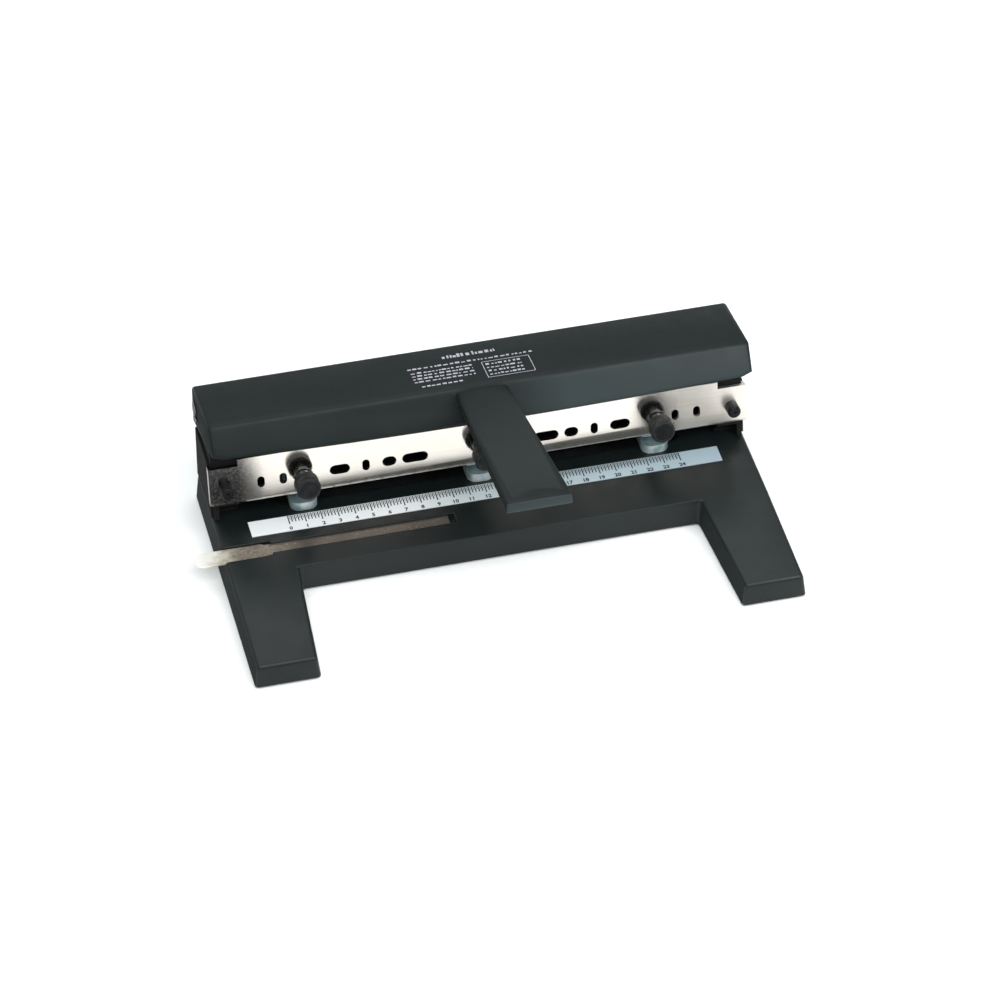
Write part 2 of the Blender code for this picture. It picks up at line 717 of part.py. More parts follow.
def make_side_frame(side, sign):
    """A pressed steel side: a plate, a flange for the bar, a foot and a wider lower panel."""
    low = BASE_TOP + GAP
    inset = 0.0005
    shin = low + inset
    boss = arc((PIVOT_Y, PIVOT_Z), PIVOT_BOSS, 0, 120, 8)
    edge = [(behind_bar(shin) + inset, shin), (FRAME_REAR, shin), (FRAME_REAR, PIVOT_Z)]
    edge += boss[1:] + [(behind_bar(FLANGE_TOP) + inset, FLANGE_TOP - inset)]
    pivot_hole = arc((PIVOT_Y, PIVOT_Z), PIVOT_RADIUS + RUNNING, 0, 345, 23)
    rail_hole = arc((RAIL_Y, RAIL_Z), RAIL_RADIUS + RUNNING, 0, 345, 23)
    middle = sign * (FRAME_OUTER_X - FRAME_THICKNESS / 2)
    frame = plate(
        f"{side}_side_frame",
        [edge, pivot_hole, rail_hole],
        FRAME_THICKNESS,
        "black_paint",
        place(middle, 0.0, 0.0) @ PLANE_YZ,
    )
    inner = sign * FLANGE_INNER_X
    outer = sign * (FRAME_OUTER_X - FRAME_THICKNESS / 2)
    width = abs(outer - inner)
    lean = FLANGE_THICKNESS / math.cos(BAR_LEAN)
    flange_edge = [
        (behind_bar(FLANGE_BOTTOM), FLANGE_BOTTOM),
        (behind_bar(FLANGE_BOTTOM) + lean, FLANGE_BOTTOM),
        (behind_bar(FLANGE_TOP) + lean, FLANGE_TOP),
        (behind_bar(FLANGE_TOP), FLANGE_TOP),
    ]
    flange_place = place((inner + outer) / 2, 0.0, 0.0) @ PLANE_YZ
    flange = plate(f"{side}_flange", [flange_edge], width, None, flange_place)
    combine(frame, flange, "UNION")
    foot = box(
        f"{side}_frame_foot",
        (min(inner, outer), FRAME_FOOT_FRONT, low),
        (max(inner, outer), FRAME_FOOT_BACK, low + FRAME_FOOT_THICKNESS),
    )
    combine(frame, foot, "UNION")
    bottom = low + 2 * inset
    setback = FRAME_STEP_DEPTH / math.cos(BAR_LEAN) - behind_bar(BAR_BOTTOM) + BAR_BOTTOM_Y
    step_edge = [
        (behind_bar(bottom) + setback, bottom),
        (FRAME_STEP_REAR, bottom),
        (FRAME_STEP_REAR, FRAME_STEP_TOP),
        (behind_bar(FRAME_STEP_TOP) + setback, FRAME_STEP_TOP),
    ]
    step_middle = sign * (FRAME_STEP_INNER + FRAME_STEP_OUTER) / 2
    step_place = place(step_middle, 0.0, 0.0) @ PLANE_YZ
    step_width = FRAME_STEP_OUTER - FRAME_STEP_INNER
    combine(frame, plate(f"{side}_step", [step_edge], step_width, None, step_place), "UNION")
    screw_hole = bar_frame(sign * BAR_SCREW_X, SLOT_LINE, -0.004)
    combine(frame, rod(f"{side}_bar_hole", BAR_SCREW_RADIUS + GAP, 0.012, screw_hole, segments=16))
    for row, y in enumerate(FRAME_SCREW_Y):
        spot = place(sign * FRAME_SCREW_X, y, low)
        hole = rod(f"{side}_foot_hole_{row}", FRAME_SCREW_RADIUS + GAP, 0.012, spot, segments=16)
        combine(frame, hole)
        top = low + FRAME_FOOT_THICKNESS + GAP
        profile = [
            (0.0, top + 0.0022),
            (0.0022, top + 0.0020),
            (0.0034, top + 0.0008),
            (0.0034, top),
            (FRAME_SCREW_RADIUS, top),
            (FRAME_SCREW_RADIUS, 0.0100),
            (0.0, 0.0100),
        ]
        corner = ("front", "rear")[row]
        spot = place(sign * FRAME_SCREW_X, y, 0.0)
        turned(f"frame_screw_{corner}_{side}", profile, "dark_steel", spot, steps=16)
    return frame


def make_back_panel():
    """A sheet behind the heads, between the side frames."""
    inner = FRAME_OUTER_X - FRAME_THICKNESS - GAP
    return box(
        "back_panel",
        (-inner, PANEL_REAR - PANEL_THICKNESS, BASE_TOP + GAP),
        (inner, PANEL_REAR, PANEL_TOP),
        "black_paint",
    )


def make_shafts():
    rail_length = 2 * (FRAME_STEP_INNER - GAP)
    rod("head_rail", RAIL_RADIUS, rail_length, along_x(0.0, RAIL_Y, RAIL_Z), "steel")
    shaft_axis = along_x(0.0, PIVOT_Y, PIVOT_Z)
    rod("pivot_shaft", PIVOT_RADIUS, 2 * PIVOT_HALF_LENGTH, shaft_axis, "dark_steel")
    half = PIVOT_CLIP_THICKNESS / 2
    inner = PIVOT_RADIUS + RUNNING
    profile = [(inner, half), (PIVOT_CLIP_RADIUS, half), (PIVOT_CLIP_RADIUS, -half), (inner, -half)]
    for side, sign in (("left", -1), ("right", 1)):
        spot = along_x(sign * (COVER_HALF_LENGTH + GAP + half), PIVOT_Y, PIVOT_Z)
        turned(f"pivot_clip_{side}", profile, "dark_steel", spot, ring=True)


def cover_outline():
    corners = [COVER_REAR_LOWER, COVER_TOP_REAR, COVER_TOP_FRONT, COVER_FRONT_LOWER]
    return [(PIVOT_Y + back, PIVOT_Z + up) for back, up in corners]


def hang_apron(cover):
    """The front wall hangs lower between its two ends, and lowest in the middle."""
    foot = Vector((PIVOT_Y + COVER_FRONT_LOWER[0], PIVOT_Z + COVER_FRONT_LOWER[1]))
    top = Vector((PIVOT_Y + COVER_TOP_FRONT[0], PIVOT_Z + COVER_TOP_FRONT[1]))
    down = (foot - top).normalized()
    steps = 8
    bm = bmesh.new()
    bm.from_mesh(cover.data)
    for i in range(steps + 1):
        everything = bm.verts[:] + bm.edges[:] + bm.faces[:]
        plane = (APRON_HALF_LENGTH * (2 * i / steps - 1), 0.0, 0.0)
        bmesh.ops.bisect_plane(bm, geom=everything, dist=1e-6, plane_co=plane, plane_no=(1, 0, 0))
    for vert in bm.verts:
        share = vert.co.x / APRON_HALF_LENGTH
        if abs(share) < 1.001 and (vert.co.yz - foot).length < 1e-5:
            drop = APRON_DROP + APRON_BOW * (1 - share**2)
            vert.co.y += down.x * drop
            vert.co.z += down.y * drop
    bm.to_mesh(cover.data)
    bm.free()


def cover_hollow():
    """The inside of the cover: its outline moved in by the wall and run out below its mouth."""
    lower_rear, top_rear, top_front, lower_front = [Vector(point) for point in cover_outline()]
    forward = (top_front - top_rear).normalized()
    below_top = Vector((forward.y, -forward.x)) * -COVER_WALL
    down_front = (lower_front - top_front).normalized()
    behind_front = Vector((-down_front.y, down_front.x)) * COVER_WALL
    before_rear = Vector((-COVER_WALL, 0.0))
    drop = COVER_MOUTH_DROP
    inner_rear = top_rear + before_rear + below_top
    inner_front = top_front + behind_front + below_top
    rear_end = lower_rear + before_rear + Vector((0.0, -drop))
    front_end = lower_front + behind_front + down_front * drop
    return [tuple(point) for point in (rear_end, inner_rear, inner_front, front_end)]


def lever_frame():
    """The lever's own axes in the local frame, with its origin at the tip."""
    turn = Matrix.Rotation(-LEVER_SLOPE, 4, "X")
    return place(0.0, LEVER_TIP_Y, LEVER_TIP_Z) @ turn


def lever_share(back):
    """The lever's half width at a distance from its tip, as a share of that at the tip."""
    narrowing = 1 - LEVER_ROOT_HALF_WIDTH / LEVER_TIP_HALF_WIDTH
    return 1 - narrowing * back / LEVER_LENGTH


def lever_half_width(back):
    return LEVER_TIP_HALF_WIDTH * lever_share(back)


def make_paddle():
    """The paddle: crowned across, narrower towards its root, with a flat bevel cut at its tip."""
    steps = 8
    reach = LEVER_LENGTH + 0.004
    rise = LEVER_CROWN / LEVER_BEVEL_LENGTH
    narrowing = (1 - lever_share(reach)) / reach
    bm = bmesh.new()
    edge_points = []
    ridge_points = []
    root_points = []
    for i in range(steps + 1):
        x = LEVER_TIP_HALF_WIDTH * (1 - 2 * i / steps)
        z = -LEVER_CROWN * (x / LEVER_TIP_HALF_WIDTH) ** 2
        back = (z + LEVER_CROWN) / (rise + narrowing * z)
        edge_points.append((x, 0.0, -LEVER_CROWN))
        ridge_points.append((x * lever_share(back), back, z * lever_share(back)))
        root_points.append((x * lever_share(reach), reach, z * lever_share(reach)))
    edge = [bm.verts.new(point) for point in (edge_points[0], edge_points[-1])]
    ridge = [edge[0]] + [bm.verts.new(point) for point in ridge_points[1:-1]] + [edge[1]]
    root = [bm.verts.new(point) for point in root_points]
    lower = []
    for x, y in ((1, 0.0), (-1, 0.0), (-1, reach), (1, reach)):
        lower.append(bm.verts.new((x * lever_half_width(y), y, -LEVER_THICKNESS)))
    bm.faces.new(ridge)
    for i in range(steps):
        bm.faces.new((ridge[i], ridge[i + 1], root[i + 1], root[i]))
    bm.faces.new(lower)
    bm.faces.new((edge[0], edge[1], lower[1], lower[0]))
    bm.faces.new(root + [lower[2], lower[3]])
    bm.faces.new((edge[0], root[0], lower[3], lower[0]))
    bm.faces.new((edge[1], root[-1], lower[2], lower[1]))
    paddle = add_mesh("paddle", bm)
    round_edges(paddle, 0.0010, 2, 40.0)
    paddle.data.transform(lever_frame())
    return paddle


def make_lever_pocket():
    """The underside of the paddle is open, with a wall all round."""
    start = LEVER_POCKET_START
    end = LEVER_LENGTH - LEVER_POCKET_MARGIN
    outline = []
    for back, side in ((start, -1), (start, 1), (end, 1), (end, -1)):
        outline.append((side * (lever_half_width(back) - LEVER_WALL), back))
    low = [Vector((x, y, -LEVER_THICKNESS - THROUGH)) for x, y in outline]
    high = [Vector((x, y, -LEVER_SKIN - LEVER_CROWN / 2)) for x, y in outline]
    pocket = loft("lever_pocket", low, high)
    pocket.data.transform(lever_frame())
    return pocket


def press_axis():
    return along_x(0.0, PIN_Y, PIN_CAP_TOP + 0.0004 + PRESS_RADIUS)


def press_rib_outline():
    """A rib that carries the press rod: it hangs from the cover's top wall."""
    slope = (COVER_TOP_FRONT[1] - COVER_TOP_REAR[1]) / (COVER_TOP_REAR[0] - COVER_TOP_FRONT[0])
    rear_top = PIVOT_Z + COVER_TOP_REAR[1] - COVER_WALL / 2
    front = PIN_Y - PRESS_RIB_HALF_DEPTH
    back = PIN_Y + PRESS_RIB_HALF_DEPTH
    low = PIN_CAP_TOP - 0.0012
    upper = []
    for y in (back, front):
        upper.append((y, rear_top + (PIVOT_Y + COVER_TOP_REAR[0] - y) * slope))
    return [(front, low), (back, low)] + upper


def make_lever_cover():
    """One casting: the cover over the punch heads, and the lever growing out of its front."""
    length = 2 * COVER_HALF_LENGTH
    cover = plate("lever_cover", [cover_outline()], length, "black_paint", PLANE_YZ)
    round_sharp(cover, COVER_ROUND, 3, lambda a, b: max(a.z, b.z) > PIVOT_Z + 0.006)
    hang_apron(cover)
    combine(cover, make_paddle(), "UNION")
    combine(cover, make_lever_pocket())
    inner_length = 2 * (COVER_HALF_LENGTH - COVER_END_WALL)
    combine(cover, plate("cover_inside", [cover_hollow()], inner_length, None, PLANE_YZ))
    for index, distance in enumerate(PRESS_RIB_X):
        for side, sign in (("left", -1), ("right", 1)):
            spot = place(sign * distance, 0.0, 0.0) @ PLANE_YZ
            name = f"press_rib_{side}_{index}"
            rib = plate(name, [press_rib_outline()], PRESS_RIB_THICKNESS, None, spot)
            combine(cover, rib, "UNION")
    bore_length = 2 * PRESS_HALF_LENGTH + 0.01
    combine(cover, rod("press_bore", PRESS_RADIUS + RUNNING, bore_length, press_axis()))
    hinge_axis = along_x(0.0, PIVOT_Y, PIVOT_Z)
    combine(cover, rod("pivot_bore", PIVOT_RADIUS + RUNNING, length + 0.01, hinge_axis))
    press_rod = rod("press_rod", PRESS_RADIUS, 2 * PRESS_HALF_LENGTH, press_axis(), "steel")
    pivot = (0.0, PIVOT_Y, PIVOT_Z)
    set_origin(smooth(cover), pivot)
    set_origin(press_rod, pivot)


def make_head_body(name, x):
    low = BASE_TOP + GAP
    outline = [
        (HEAD_FRONT, low),
        (HEAD_FRONT, JAW_TOP),
        (THROAT_BACK, JAW_TOP),
        (THROAT_BACK, THROAT_TOP),
        (behind_bar(THROAT_TOP), THROAT_TOP),
        (behind_bar(HEAD_TOP), HEAD_TOP),
        (HEAD_BACK, HEAD_TOP),
        (HEAD_BACK, low),
    ]
    body = plate(f"head_body_{name}", [outline], HEAD_WIDTH, "zinc", place(x, 0.0, 0.0) @ PLANE_YZ)
    at_nose = HEAD_FRONT + 0.0001
    round_sharp(
        body, HEAD_NOSE_ROUND, 4, lambda a, b: max(a.y, b.y) < at_nose and abs(a.x - b.x) < 1e-5
    )
    seat_low = DIE_BOTTOM - GAP
    seat_high = JAW_TOP + THROUGH
    pin_low = THROAT_TOP - THROUGH
    pin_high = HEAD_TOP + THROUGH
    bores = {
        "pin_bore": (PIN_RADIUS + RUNNING, pin_low, pin_high),
        "die_seat": (DIE_RADIUS + RUNNING, seat_low, seat_high),
        "chip_hole": (DIE_SEAT_RADIUS, low - THROUGH, seat_low + 0.0002),
    }
    for bore, (radius, bottom, top) in bores.items():
        spot = place(x, PIN_Y, (bottom + top) / 2)
        combine(body, rod(f"{bore}_{name}", radius, top - bottom, spot))
    rail_axis = along_x(x, RAIL_Y, RAIL_Z)
    combine(body, rod(f"rail_bore_{name}", RAIL_RADIUS + RUNNING, HEAD_WIDTH + THROUGH, rail_axis))
    thumb_axis = bar_frame(x, SLOT_LINE, -THUMB_SHANK_DEPTH / 2)
    thumb_length = THUMB_SHANK_DEPTH + 0.0008
    combine(body, rod(f"thumb_bore_{name}", THUMB_SHANK_RADIUS + RUNNING, thumb_length, thumb_axis))
    return body


def make_die(name, x):
    inner = PIN_RADIUS + RUNNING
    profile = [(inner, JAW_TOP), (DIE_RADIUS, JAW_TOP), (DIE_RADIUS, DIE_BOTTOM), (inner, DIE_BOTTOM)]
    turned(f"die_{name}", profile, "steel", place(x, PIN_Y, 0.0), ring=True)


def make_punch_pin(name, x):
    chamfer = 0.0008
    profile = [
        (0.0, PIN_CAP_TOP),
        (PIN_CAP_RADIUS - chamfer, PIN_CAP_TOP),
        (PIN_CAP_RADIUS, PIN_CAP_TOP - chamfer),
        (PIN_CAP_RADIUS, PIN_CAP_BOTTOM),
        (PIN_RADIUS, PIN_CAP_BOTTOM),
        (PIN_RADIUS, PIN_TIP),
        (0.0, PIN_TIP),
    ]
    turned(f"punch_pin_{name}", profile, "steel", place(x, PIN_Y, 0.0))


def make_return_spring(name, x):
    low = HEAD_TOP + GAP + SPRING_WIRE / 2
    high = PIN_CAP_BOTTOM - GAP - SPRING_WIRE / 2
    per_turn = 12
    count = SPRING_TURNS * per_turn + 1
    curve = bpy.data.curves.new(f"return_spring_{name}", "CURVE")
    curve.dimensions = "3D"
    curve.bevel_depth = SPRING_WIRE / 2
    curve.bevel_resolution = 1
    curve.use_fill_caps = True
    spline = curve.splines.new("POLY")
    spline.points.add(count - 1)
    for i, point in enumerate(spline.points):
        angle = math.tau * i / per_turn
        height = low + (high - low) * i / (count - 1)
        point.co = (SPRING_RADIUS * math.cos(angle), SPRING_RADIUS * math.sin(angle), height, 1.0)
    colour, metallic, roughness = FINISHES["steel"]
    curve.materials.append(make_material(curve.name, colour, metallic, roughness))
    spring = bpy.data.objects.new(curve.name, curve)
    spring.location = (x, PIN_Y, 0.0)
    PARTS.objects.link(spring)


def make_thumbscrew(name, x):
    edge = 0.0008
    profile = [
        (0.0, THUMB_HEAD_END),
        (THUMB_HEAD_RADIUS - edge, THUMB_HEAD_END),
        (THUMB_HEAD_RADIUS, THUMB_HEAD_END - edge),
        (THUMB_HEAD_RADIUS, THUMB_HEAD_START + edge),
        (THUMB_HEAD_RADIUS - edge, THUMB_HEAD_START),
        (THUMB_NECK_RADIUS, THUMB_HEAD_START),
        (THUMB_NECK_RADIUS, GAP),
        (THUMB_SHANK_RADIUS, GAP),
        (THUMB_SHANK_RADIUS, -THUMB_SHANK_DEPTH),
        (0.0, -THUMB_SHANK_DEPTH),
    ]
    turned(f"thumbscrew_{name}", profile, "dark_steel", bar_frame(x, SLOT_LINE, 0.0), steps=32)


def hang_on_root():
    """One empty carries everything and sets the origin under the middle of the punch."""
    root = bpy.data.objects.new(f"{NAME}_root", None)
    PARTS.objects.link(root)
    root.location = ROOT_PLACE
    for collection in (PARTS, CUTTERS):
        for obj in collection.objects:
            if obj is not root and obj.parent is None:
                obj.parent = root


make_base()
make_feet()
make_bottom_plate()
make_chip_tray()
make_ruler_strip()
make_edge_guide()
make_template_bar()
make_bar_screws()
for frame_side, frame_sign in (("left", -1), ("right", 1)):
    make_side_frame(frame_side, frame_sign)
make_back_panel()
make_shafts()
make_lever_cover()
for head, head_x in HEAD_NAMES.items():
    make_head_body(head, head_x)
    make_die(head, head_x)
    make_punch_pin(head, head_x)
    make_return_spring(head, head_x)
    make_thumbscrew(head, head_x)
hang_on_root()
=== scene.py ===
"""The finished surfaces of an adjustable hole punch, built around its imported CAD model.

Local coordinates below are the part's own: x along the slotted bar, y = 0 at the tips of the
legs and growing to the back, z = 0 on the table. local() moves them into the row frame. All
sizes are in metres.
"""

import json
import math
import random

import bmesh
import bpy
from mathutils import Matrix, Vector

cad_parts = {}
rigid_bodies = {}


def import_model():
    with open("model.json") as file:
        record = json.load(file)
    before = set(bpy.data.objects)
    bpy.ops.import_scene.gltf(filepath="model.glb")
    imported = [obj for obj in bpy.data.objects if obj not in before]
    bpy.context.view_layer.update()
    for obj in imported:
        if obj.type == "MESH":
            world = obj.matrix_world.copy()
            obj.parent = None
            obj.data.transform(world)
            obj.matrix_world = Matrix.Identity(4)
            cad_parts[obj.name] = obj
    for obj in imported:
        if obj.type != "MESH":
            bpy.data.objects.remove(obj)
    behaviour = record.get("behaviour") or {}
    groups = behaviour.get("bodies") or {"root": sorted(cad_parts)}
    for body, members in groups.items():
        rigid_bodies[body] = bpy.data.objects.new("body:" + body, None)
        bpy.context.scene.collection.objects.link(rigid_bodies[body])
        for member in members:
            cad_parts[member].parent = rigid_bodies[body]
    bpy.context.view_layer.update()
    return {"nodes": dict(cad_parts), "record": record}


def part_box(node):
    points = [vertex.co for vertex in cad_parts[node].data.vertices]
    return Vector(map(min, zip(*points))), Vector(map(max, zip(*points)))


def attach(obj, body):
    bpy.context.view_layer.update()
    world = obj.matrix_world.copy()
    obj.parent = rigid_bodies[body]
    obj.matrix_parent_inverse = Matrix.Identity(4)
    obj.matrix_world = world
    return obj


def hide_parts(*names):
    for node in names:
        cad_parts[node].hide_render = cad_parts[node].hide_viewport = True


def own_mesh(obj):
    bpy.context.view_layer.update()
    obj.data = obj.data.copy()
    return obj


for leftover in list(bpy.data.objects):
    bpy.data.objects.remove(leftover, do_unlink=True)

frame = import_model()

BASE_LOW, BASE_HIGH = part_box("base")
ROOT = Vector(((BASE_LOW.x + BASE_HIGH.x) / 2, BASE_LOW.y, 0.0))
BODY_OF = {
    node: body
    for body, nodes in frame["record"]["behaviour"]["bodies"].items()
    for node in nodes
}
HEADS = {"left": -0.108, "center": 0.0, "right": 0.108}
SIDES = {"left": -1, "right": 1}

# The slotted bar leans back from its foot, and its slots lie on one line up its slope.
BAR_LEAN = math.radians(10.0)
BAR_FOOT = Vector((0.0, 0.1271, 0.0313))
SLOT_LINE = 0.0119
BAR_SCREW_X = 0.1548

PIN_Y = 0.1405

# Print stands this far out of its surface. A tick is (length, half its width).
PRINT_LIFT = 0.00004
MILLIMETRE = 0.001
RULER_MARGIN = 0.0240
TICK_INSET = 0.0004
LONGEST_TICK = (0.0072, 0.00036)
EVEN_TICK = (0.0055, 0.00033)
ODD_TICK = (0.0034, 0.00018)

ALONG_X = Matrix.Rotation(math.radians(90.0), 4, "Y")


def local(x, y, z):
    return ROOT + Vector((x, y, z))


def place(x, y, z):
    return Matrix.Translation(local(x, y, z))


def bar_place(x, height, depth):
    """Axes on the slotted bar: x along it, y up its slope, z out of its front face."""
    upright = Matrix.Rotation(math.radians(90.0) - BAR_LEAN, 4, "X")
    foot = Matrix.Translation(local(x, BAR_FOOT.y, BAR_FOOT.z))
    return foot @ upright @ Matrix.Translation((0.0, height, depth))


# ---------------------------------------------------------------- materials


class Surface:
    """One material: its Principled shader, and the nodes that vary it over the surface."""

    def __init__(self, name, metallic, specular=0.5):
        self.material = bpy.data.materials.new(name)
        self.material.use_nodes = True
        self.tree = self.material.node_tree
        self.shader = self.tree.nodes["Principled BSDF"]
        self.shader.inputs["Metallic"].default_value = metallic
        self.shader.inputs["Specular IOR Level"].default_value = specular
        self.coords = self.node("ShaderNodeTexCoord").outputs["Object"]

    def node(self, kind, **inputs):
        made = self.tree.nodes.new(kind)
        for key, value in inputs.items():
            self.feed(made.inputs[key.replace("_", " ")], value)
        return made

    def feed(self, socket, value):
        if isinstance(value, bpy.types.NodeSocket):
            self.tree.links.new(value, socket)
        else:
            socket.default_value = value

    def stretched(self, scale):
        return self.node("ShaderNodeMapping", Vector=self.coords, Scale=scale).outputs[0]

    def noise(self, scale, detail=2.0, roughness=0.5, stretch=None):
        vector = self.stretched(stretch) if stretch else self.coords
        made = self.node(
            "ShaderNodeTexNoise", Vector=vector, Scale=scale, Detail=detail, Roughness=roughness
        )
        return made.outputs["Fac"]

    def ramp(self, factor, *stops):
        made = self.node("ShaderNodeValToRGB", Fac=factor)
        elements = made.color_ramp.elements
        while len(elements) < len(stops):
            elements.new(0.5)
        for element, (position, colour) in zip(elements, stops):
            element.position = position
            element.color = (*colour, 1.0)
        return made.outputs["Color"]

    def along(self, axis):
        """The part's own coordinate along an axis."""
        parts = self.node("ShaderNodeSeparateXYZ", Vector=self.coords)
        return self.math("SUBTRACT", parts.outputs[axis], ROOT["XYZ".index(axis)])

    def facing(self, axis):
        """The normal's share along an axis of the piece itself."""
        normal = self.node("ShaderNodeTexCoord").outputs["Normal"]
        return self.node("ShaderNodeSeparateXYZ", Vector=normal).outputs[axis]

    def remap(self, value, low, high, new_low, new_high):
        made = self.node("ShaderNodeMapRange", Value=value)
        for index, number in enumerate((low, high, new_low, new_high), start=1):
            made.inputs[index].default_value = number
        return made.outputs["Result"]

    def mix(self, factor, first, second):
        made = self.tree.nodes.new("ShaderNodeMix")
        made.data_type = "RGBA"
        self.feed(made.inputs["Factor"], factor)
        colours = [socket for socket in made.inputs if socket.type == "RGBA"]
        for socket, value in zip(colours, (first, second)):
            self.feed(socket, (*value, 1.0) if isinstance(value, tuple) else value)
        return [socket for socket in made.outputs if socket.type == "RGBA"][0]

    def math(self, operation, first, second):
        made = self.tree.nodes.new("ShaderNodeMath")
        made.operation = operation
        self.feed(made.inputs[0], first)
        self.feed(made.inputs[1], second)
        return made.outputs[0]

    def edges(self, radius):
        """1 where the surface turns within the radius, 0 on flat ground."""
        soft = self.node("ShaderNodeBevel", Radius=radius)
        soft.samples = 4
        flat = self.node("ShaderNodeNewGeometry").outputs["Normal"]
        dot = self.tree.nodes.new("ShaderNodeVectorMath")
        dot.operation = "DOT_PRODUCT"
        self.feed(dot.inputs[0], soft.outputs[0])
        self.feed(dot.inputs[1], flat)
        return self.remap(dot.outputs["Value"], 0.995, 0.90, 0.0, 1.0)

    def bumps(self, *layers, normal=None):
        """Layers of (height, strength, distance), one on top of the other."""
        for height, strength, distance in layers:
            made = self.node(
                "ShaderNodeBump", Height=height, Strength=strength, Distance=distance
            )
            if normal:
                self.feed(made.inputs["Normal"], normal)
            normal = made.outputs["Normal"]
        self.feed(self.shader.inputs["Normal"], normal)

    def finish(self, colour, roughness):
        self.feed(self.shader.inputs["Base Color"], colour)
        self.feed(self.shader.inputs["Roughness"], roughness)
        return self.material


def paint(name, dark, light, rough, specular, rounding, wear_and_sheen=None):
    """Satin black paint with a fine grain, thick enough to round the edges that it covers.

    It is a little paler along its edges, partly wear and partly a painted highlight, and it is
    matt on the end walls. Its last argument, called with (surface, colour), adds painted light.
    """
    surface = Surface(name, 0.0, specular)
    cloud = surface.noise(22.0, 4.0)
    grain = surface.noise(1500.0, 3.0, 0.6)
    peel = surface.noise(420.0, 2.0)
    body = surface.ramp(cloud, (0.35, dark), (0.65, light))
    fleck = surface.remap(grain, 0.35, 0.75, 0.0, 0.35)
    speckled = surface.mix(fleck, body, tuple(1.9 * value for value in light))
    strength = surface.remap(cloud, 0.3, 0.7, 0.2, 0.5)
    # Edges painted paler: partly wear and partly a painted highlight on the rounded edges.
    rub_and_highlight = surface.math("MULTIPLY", surface.edges(rounding / 2), strength)
    colour = surface.mix(rub_and_highlight, speckled, tuple(3.0 * value for value in light))
    if wear_and_sheen:
        colour = wear_and_sheen(surface, colour)
    roughness = surface.remap(surface.noise(90.0, 3.0), 0.3, 0.7, rough - 0.05, rough + 0.06)
    sideways = surface.math("ABSOLUTE", surface.facing("X"), 0.0)
    matt = surface.remap(sideways, 0.75, 0.95, 0.0, 0.92)
    roughness = surface.math("MAXIMUM", roughness, matt)
    soft = surface.node("ShaderNodeBevel", Radius=rounding)
    soft.samples = 8
    surface.bumps((peel, 0.10, 0.00012), (grain, 0.22, 0.00007), normal=soft.outputs[0])
    return surface.finish(colour, roughness)


def cover_wear(surface, colour):
    """Painted light on the cover: a painted sheen on the front wall right of the lever and on the
    lever's end, and the lever's top painted paler towards its tip.
    """
    # Painted sheen: front walls right of the lever, and the lever's end, painted paler.
    forward = surface.math("MULTIPLY", surface.facing("Y"), -1.0)
    wall = surface.remap(forward, 0.70, 0.90, 0.0, 1.0)
    right = surface.remap(surface.along("X"), 0.012, 0.050, 0.0, 1.0)
    tip = surface.remap(surface.along("Y"), 0.020, 0.030, 0.7, 0.0)
    painted_sheen = surface.math("MULTIPLY", wall, surface.math("MAXIMUM", right, tip))
    colour = surface.mix(painted_sheen, colour, (0.033, 0.046, 0.049))
    # Painted light: the lever's top painted paler towards its tip.
    top = surface.remap(surface.facing("Z"), 0.80, 0.95, 0.0, 1.0)
    above_bevel = surface.remap(forward, -0.17, -0.10, 1.0, 0.0)
    lever = surface.math("MULTIPLY", top, above_bevel)
    towards_tip = surface.remap(surface.along("Y"), 0.020, 0.118, 0.5, 0.0)
    painted_tip_light = surface.math("MULTIPLY", lever, towards_tip)
    return surface.mix(painted_tip_light, colour, (0.034, 0.040, 0.040))


def brushed_nickel():
    """Bright plate, brushed along the bar and duller at both ends. Its left end is darkened with
    painted shade.
    """
    surface = Surface("nickel_plate", 1.0)
    surface.shader.inputs["Anisotropic"].default_value = 0.7
    across = surface.node("ShaderNodeTangent")
    across.direction_type = "RADIAL"
    across.axis = "X"
    surface.feed(surface.shader.inputs["Tangent"], across.outputs[0])
    streak = surface.noise(900.0, 3.0, 0.5, (0.05, 1.0, 1.0))
    cloud = surface.noise(60.0, 3.0)
    bright = surface.ramp(streak, (0.3, (0.78, 0.725, 0.665)), (0.7, (0.85, 0.795, 0.735)))
    # Painted shade: the bar's left end is painted dark and mottled.
    spots = surface.noise(700.0, 3.0, 0.6)
    shaded_mottle = surface.ramp(spots, (0.38, (0.055, 0.054, 0.054)), (0.7, (0.30, 0.29, 0.285)))
    reach = surface.math("ADD", surface.along("X"), surface.math("MULTIPLY", cloud, 0.006))
    painted_shade = surface.remap(reach, -0.1440, -0.1290, 0.95, 0.0)
    colour = surface.mix(painted_shade, bright, shaded_mottle)
    roughness = surface.remap(cloud, 0.3, 0.7, 0.14, 0.11)
    for start, end, added in ((-0.112, -0.126, 0.06), (0.110, 0.126, 0.22)):
        more = surface.remap(surface.along("X"), start, end, 0.0, added)
        roughness = surface.math("ADD", roughness, more)
    return surface.finish(colour, roughness)


def metal(name, dark, light, rough, scale=300.0, grain=0.08, spread=0.06):
    """Bare metal, whose tone and gloss vary along its grain."""
    surface = Surface(name, 1.0)
    streak = surface.noise(scale, 4.0, 0.6)
    cloud = surface.noise(35.0, 3.0)
    fine_share = surface.math("MULTIPLY", streak, 0.6)
    broad_share = surface.math("MULTIPLY", cloud, 0.4)
    tone = surface.math("ADD", fine_share, broad_share)
    colour = surface.ramp(tone, (0.35, dark), (0.65, light))
    roughness = surface.remap(tone, 0.35, 0.65, rough + spread, rough - spread)
    surface.bumps((streak, grain, 0.00004))
    return surface.finish(colour, roughness)


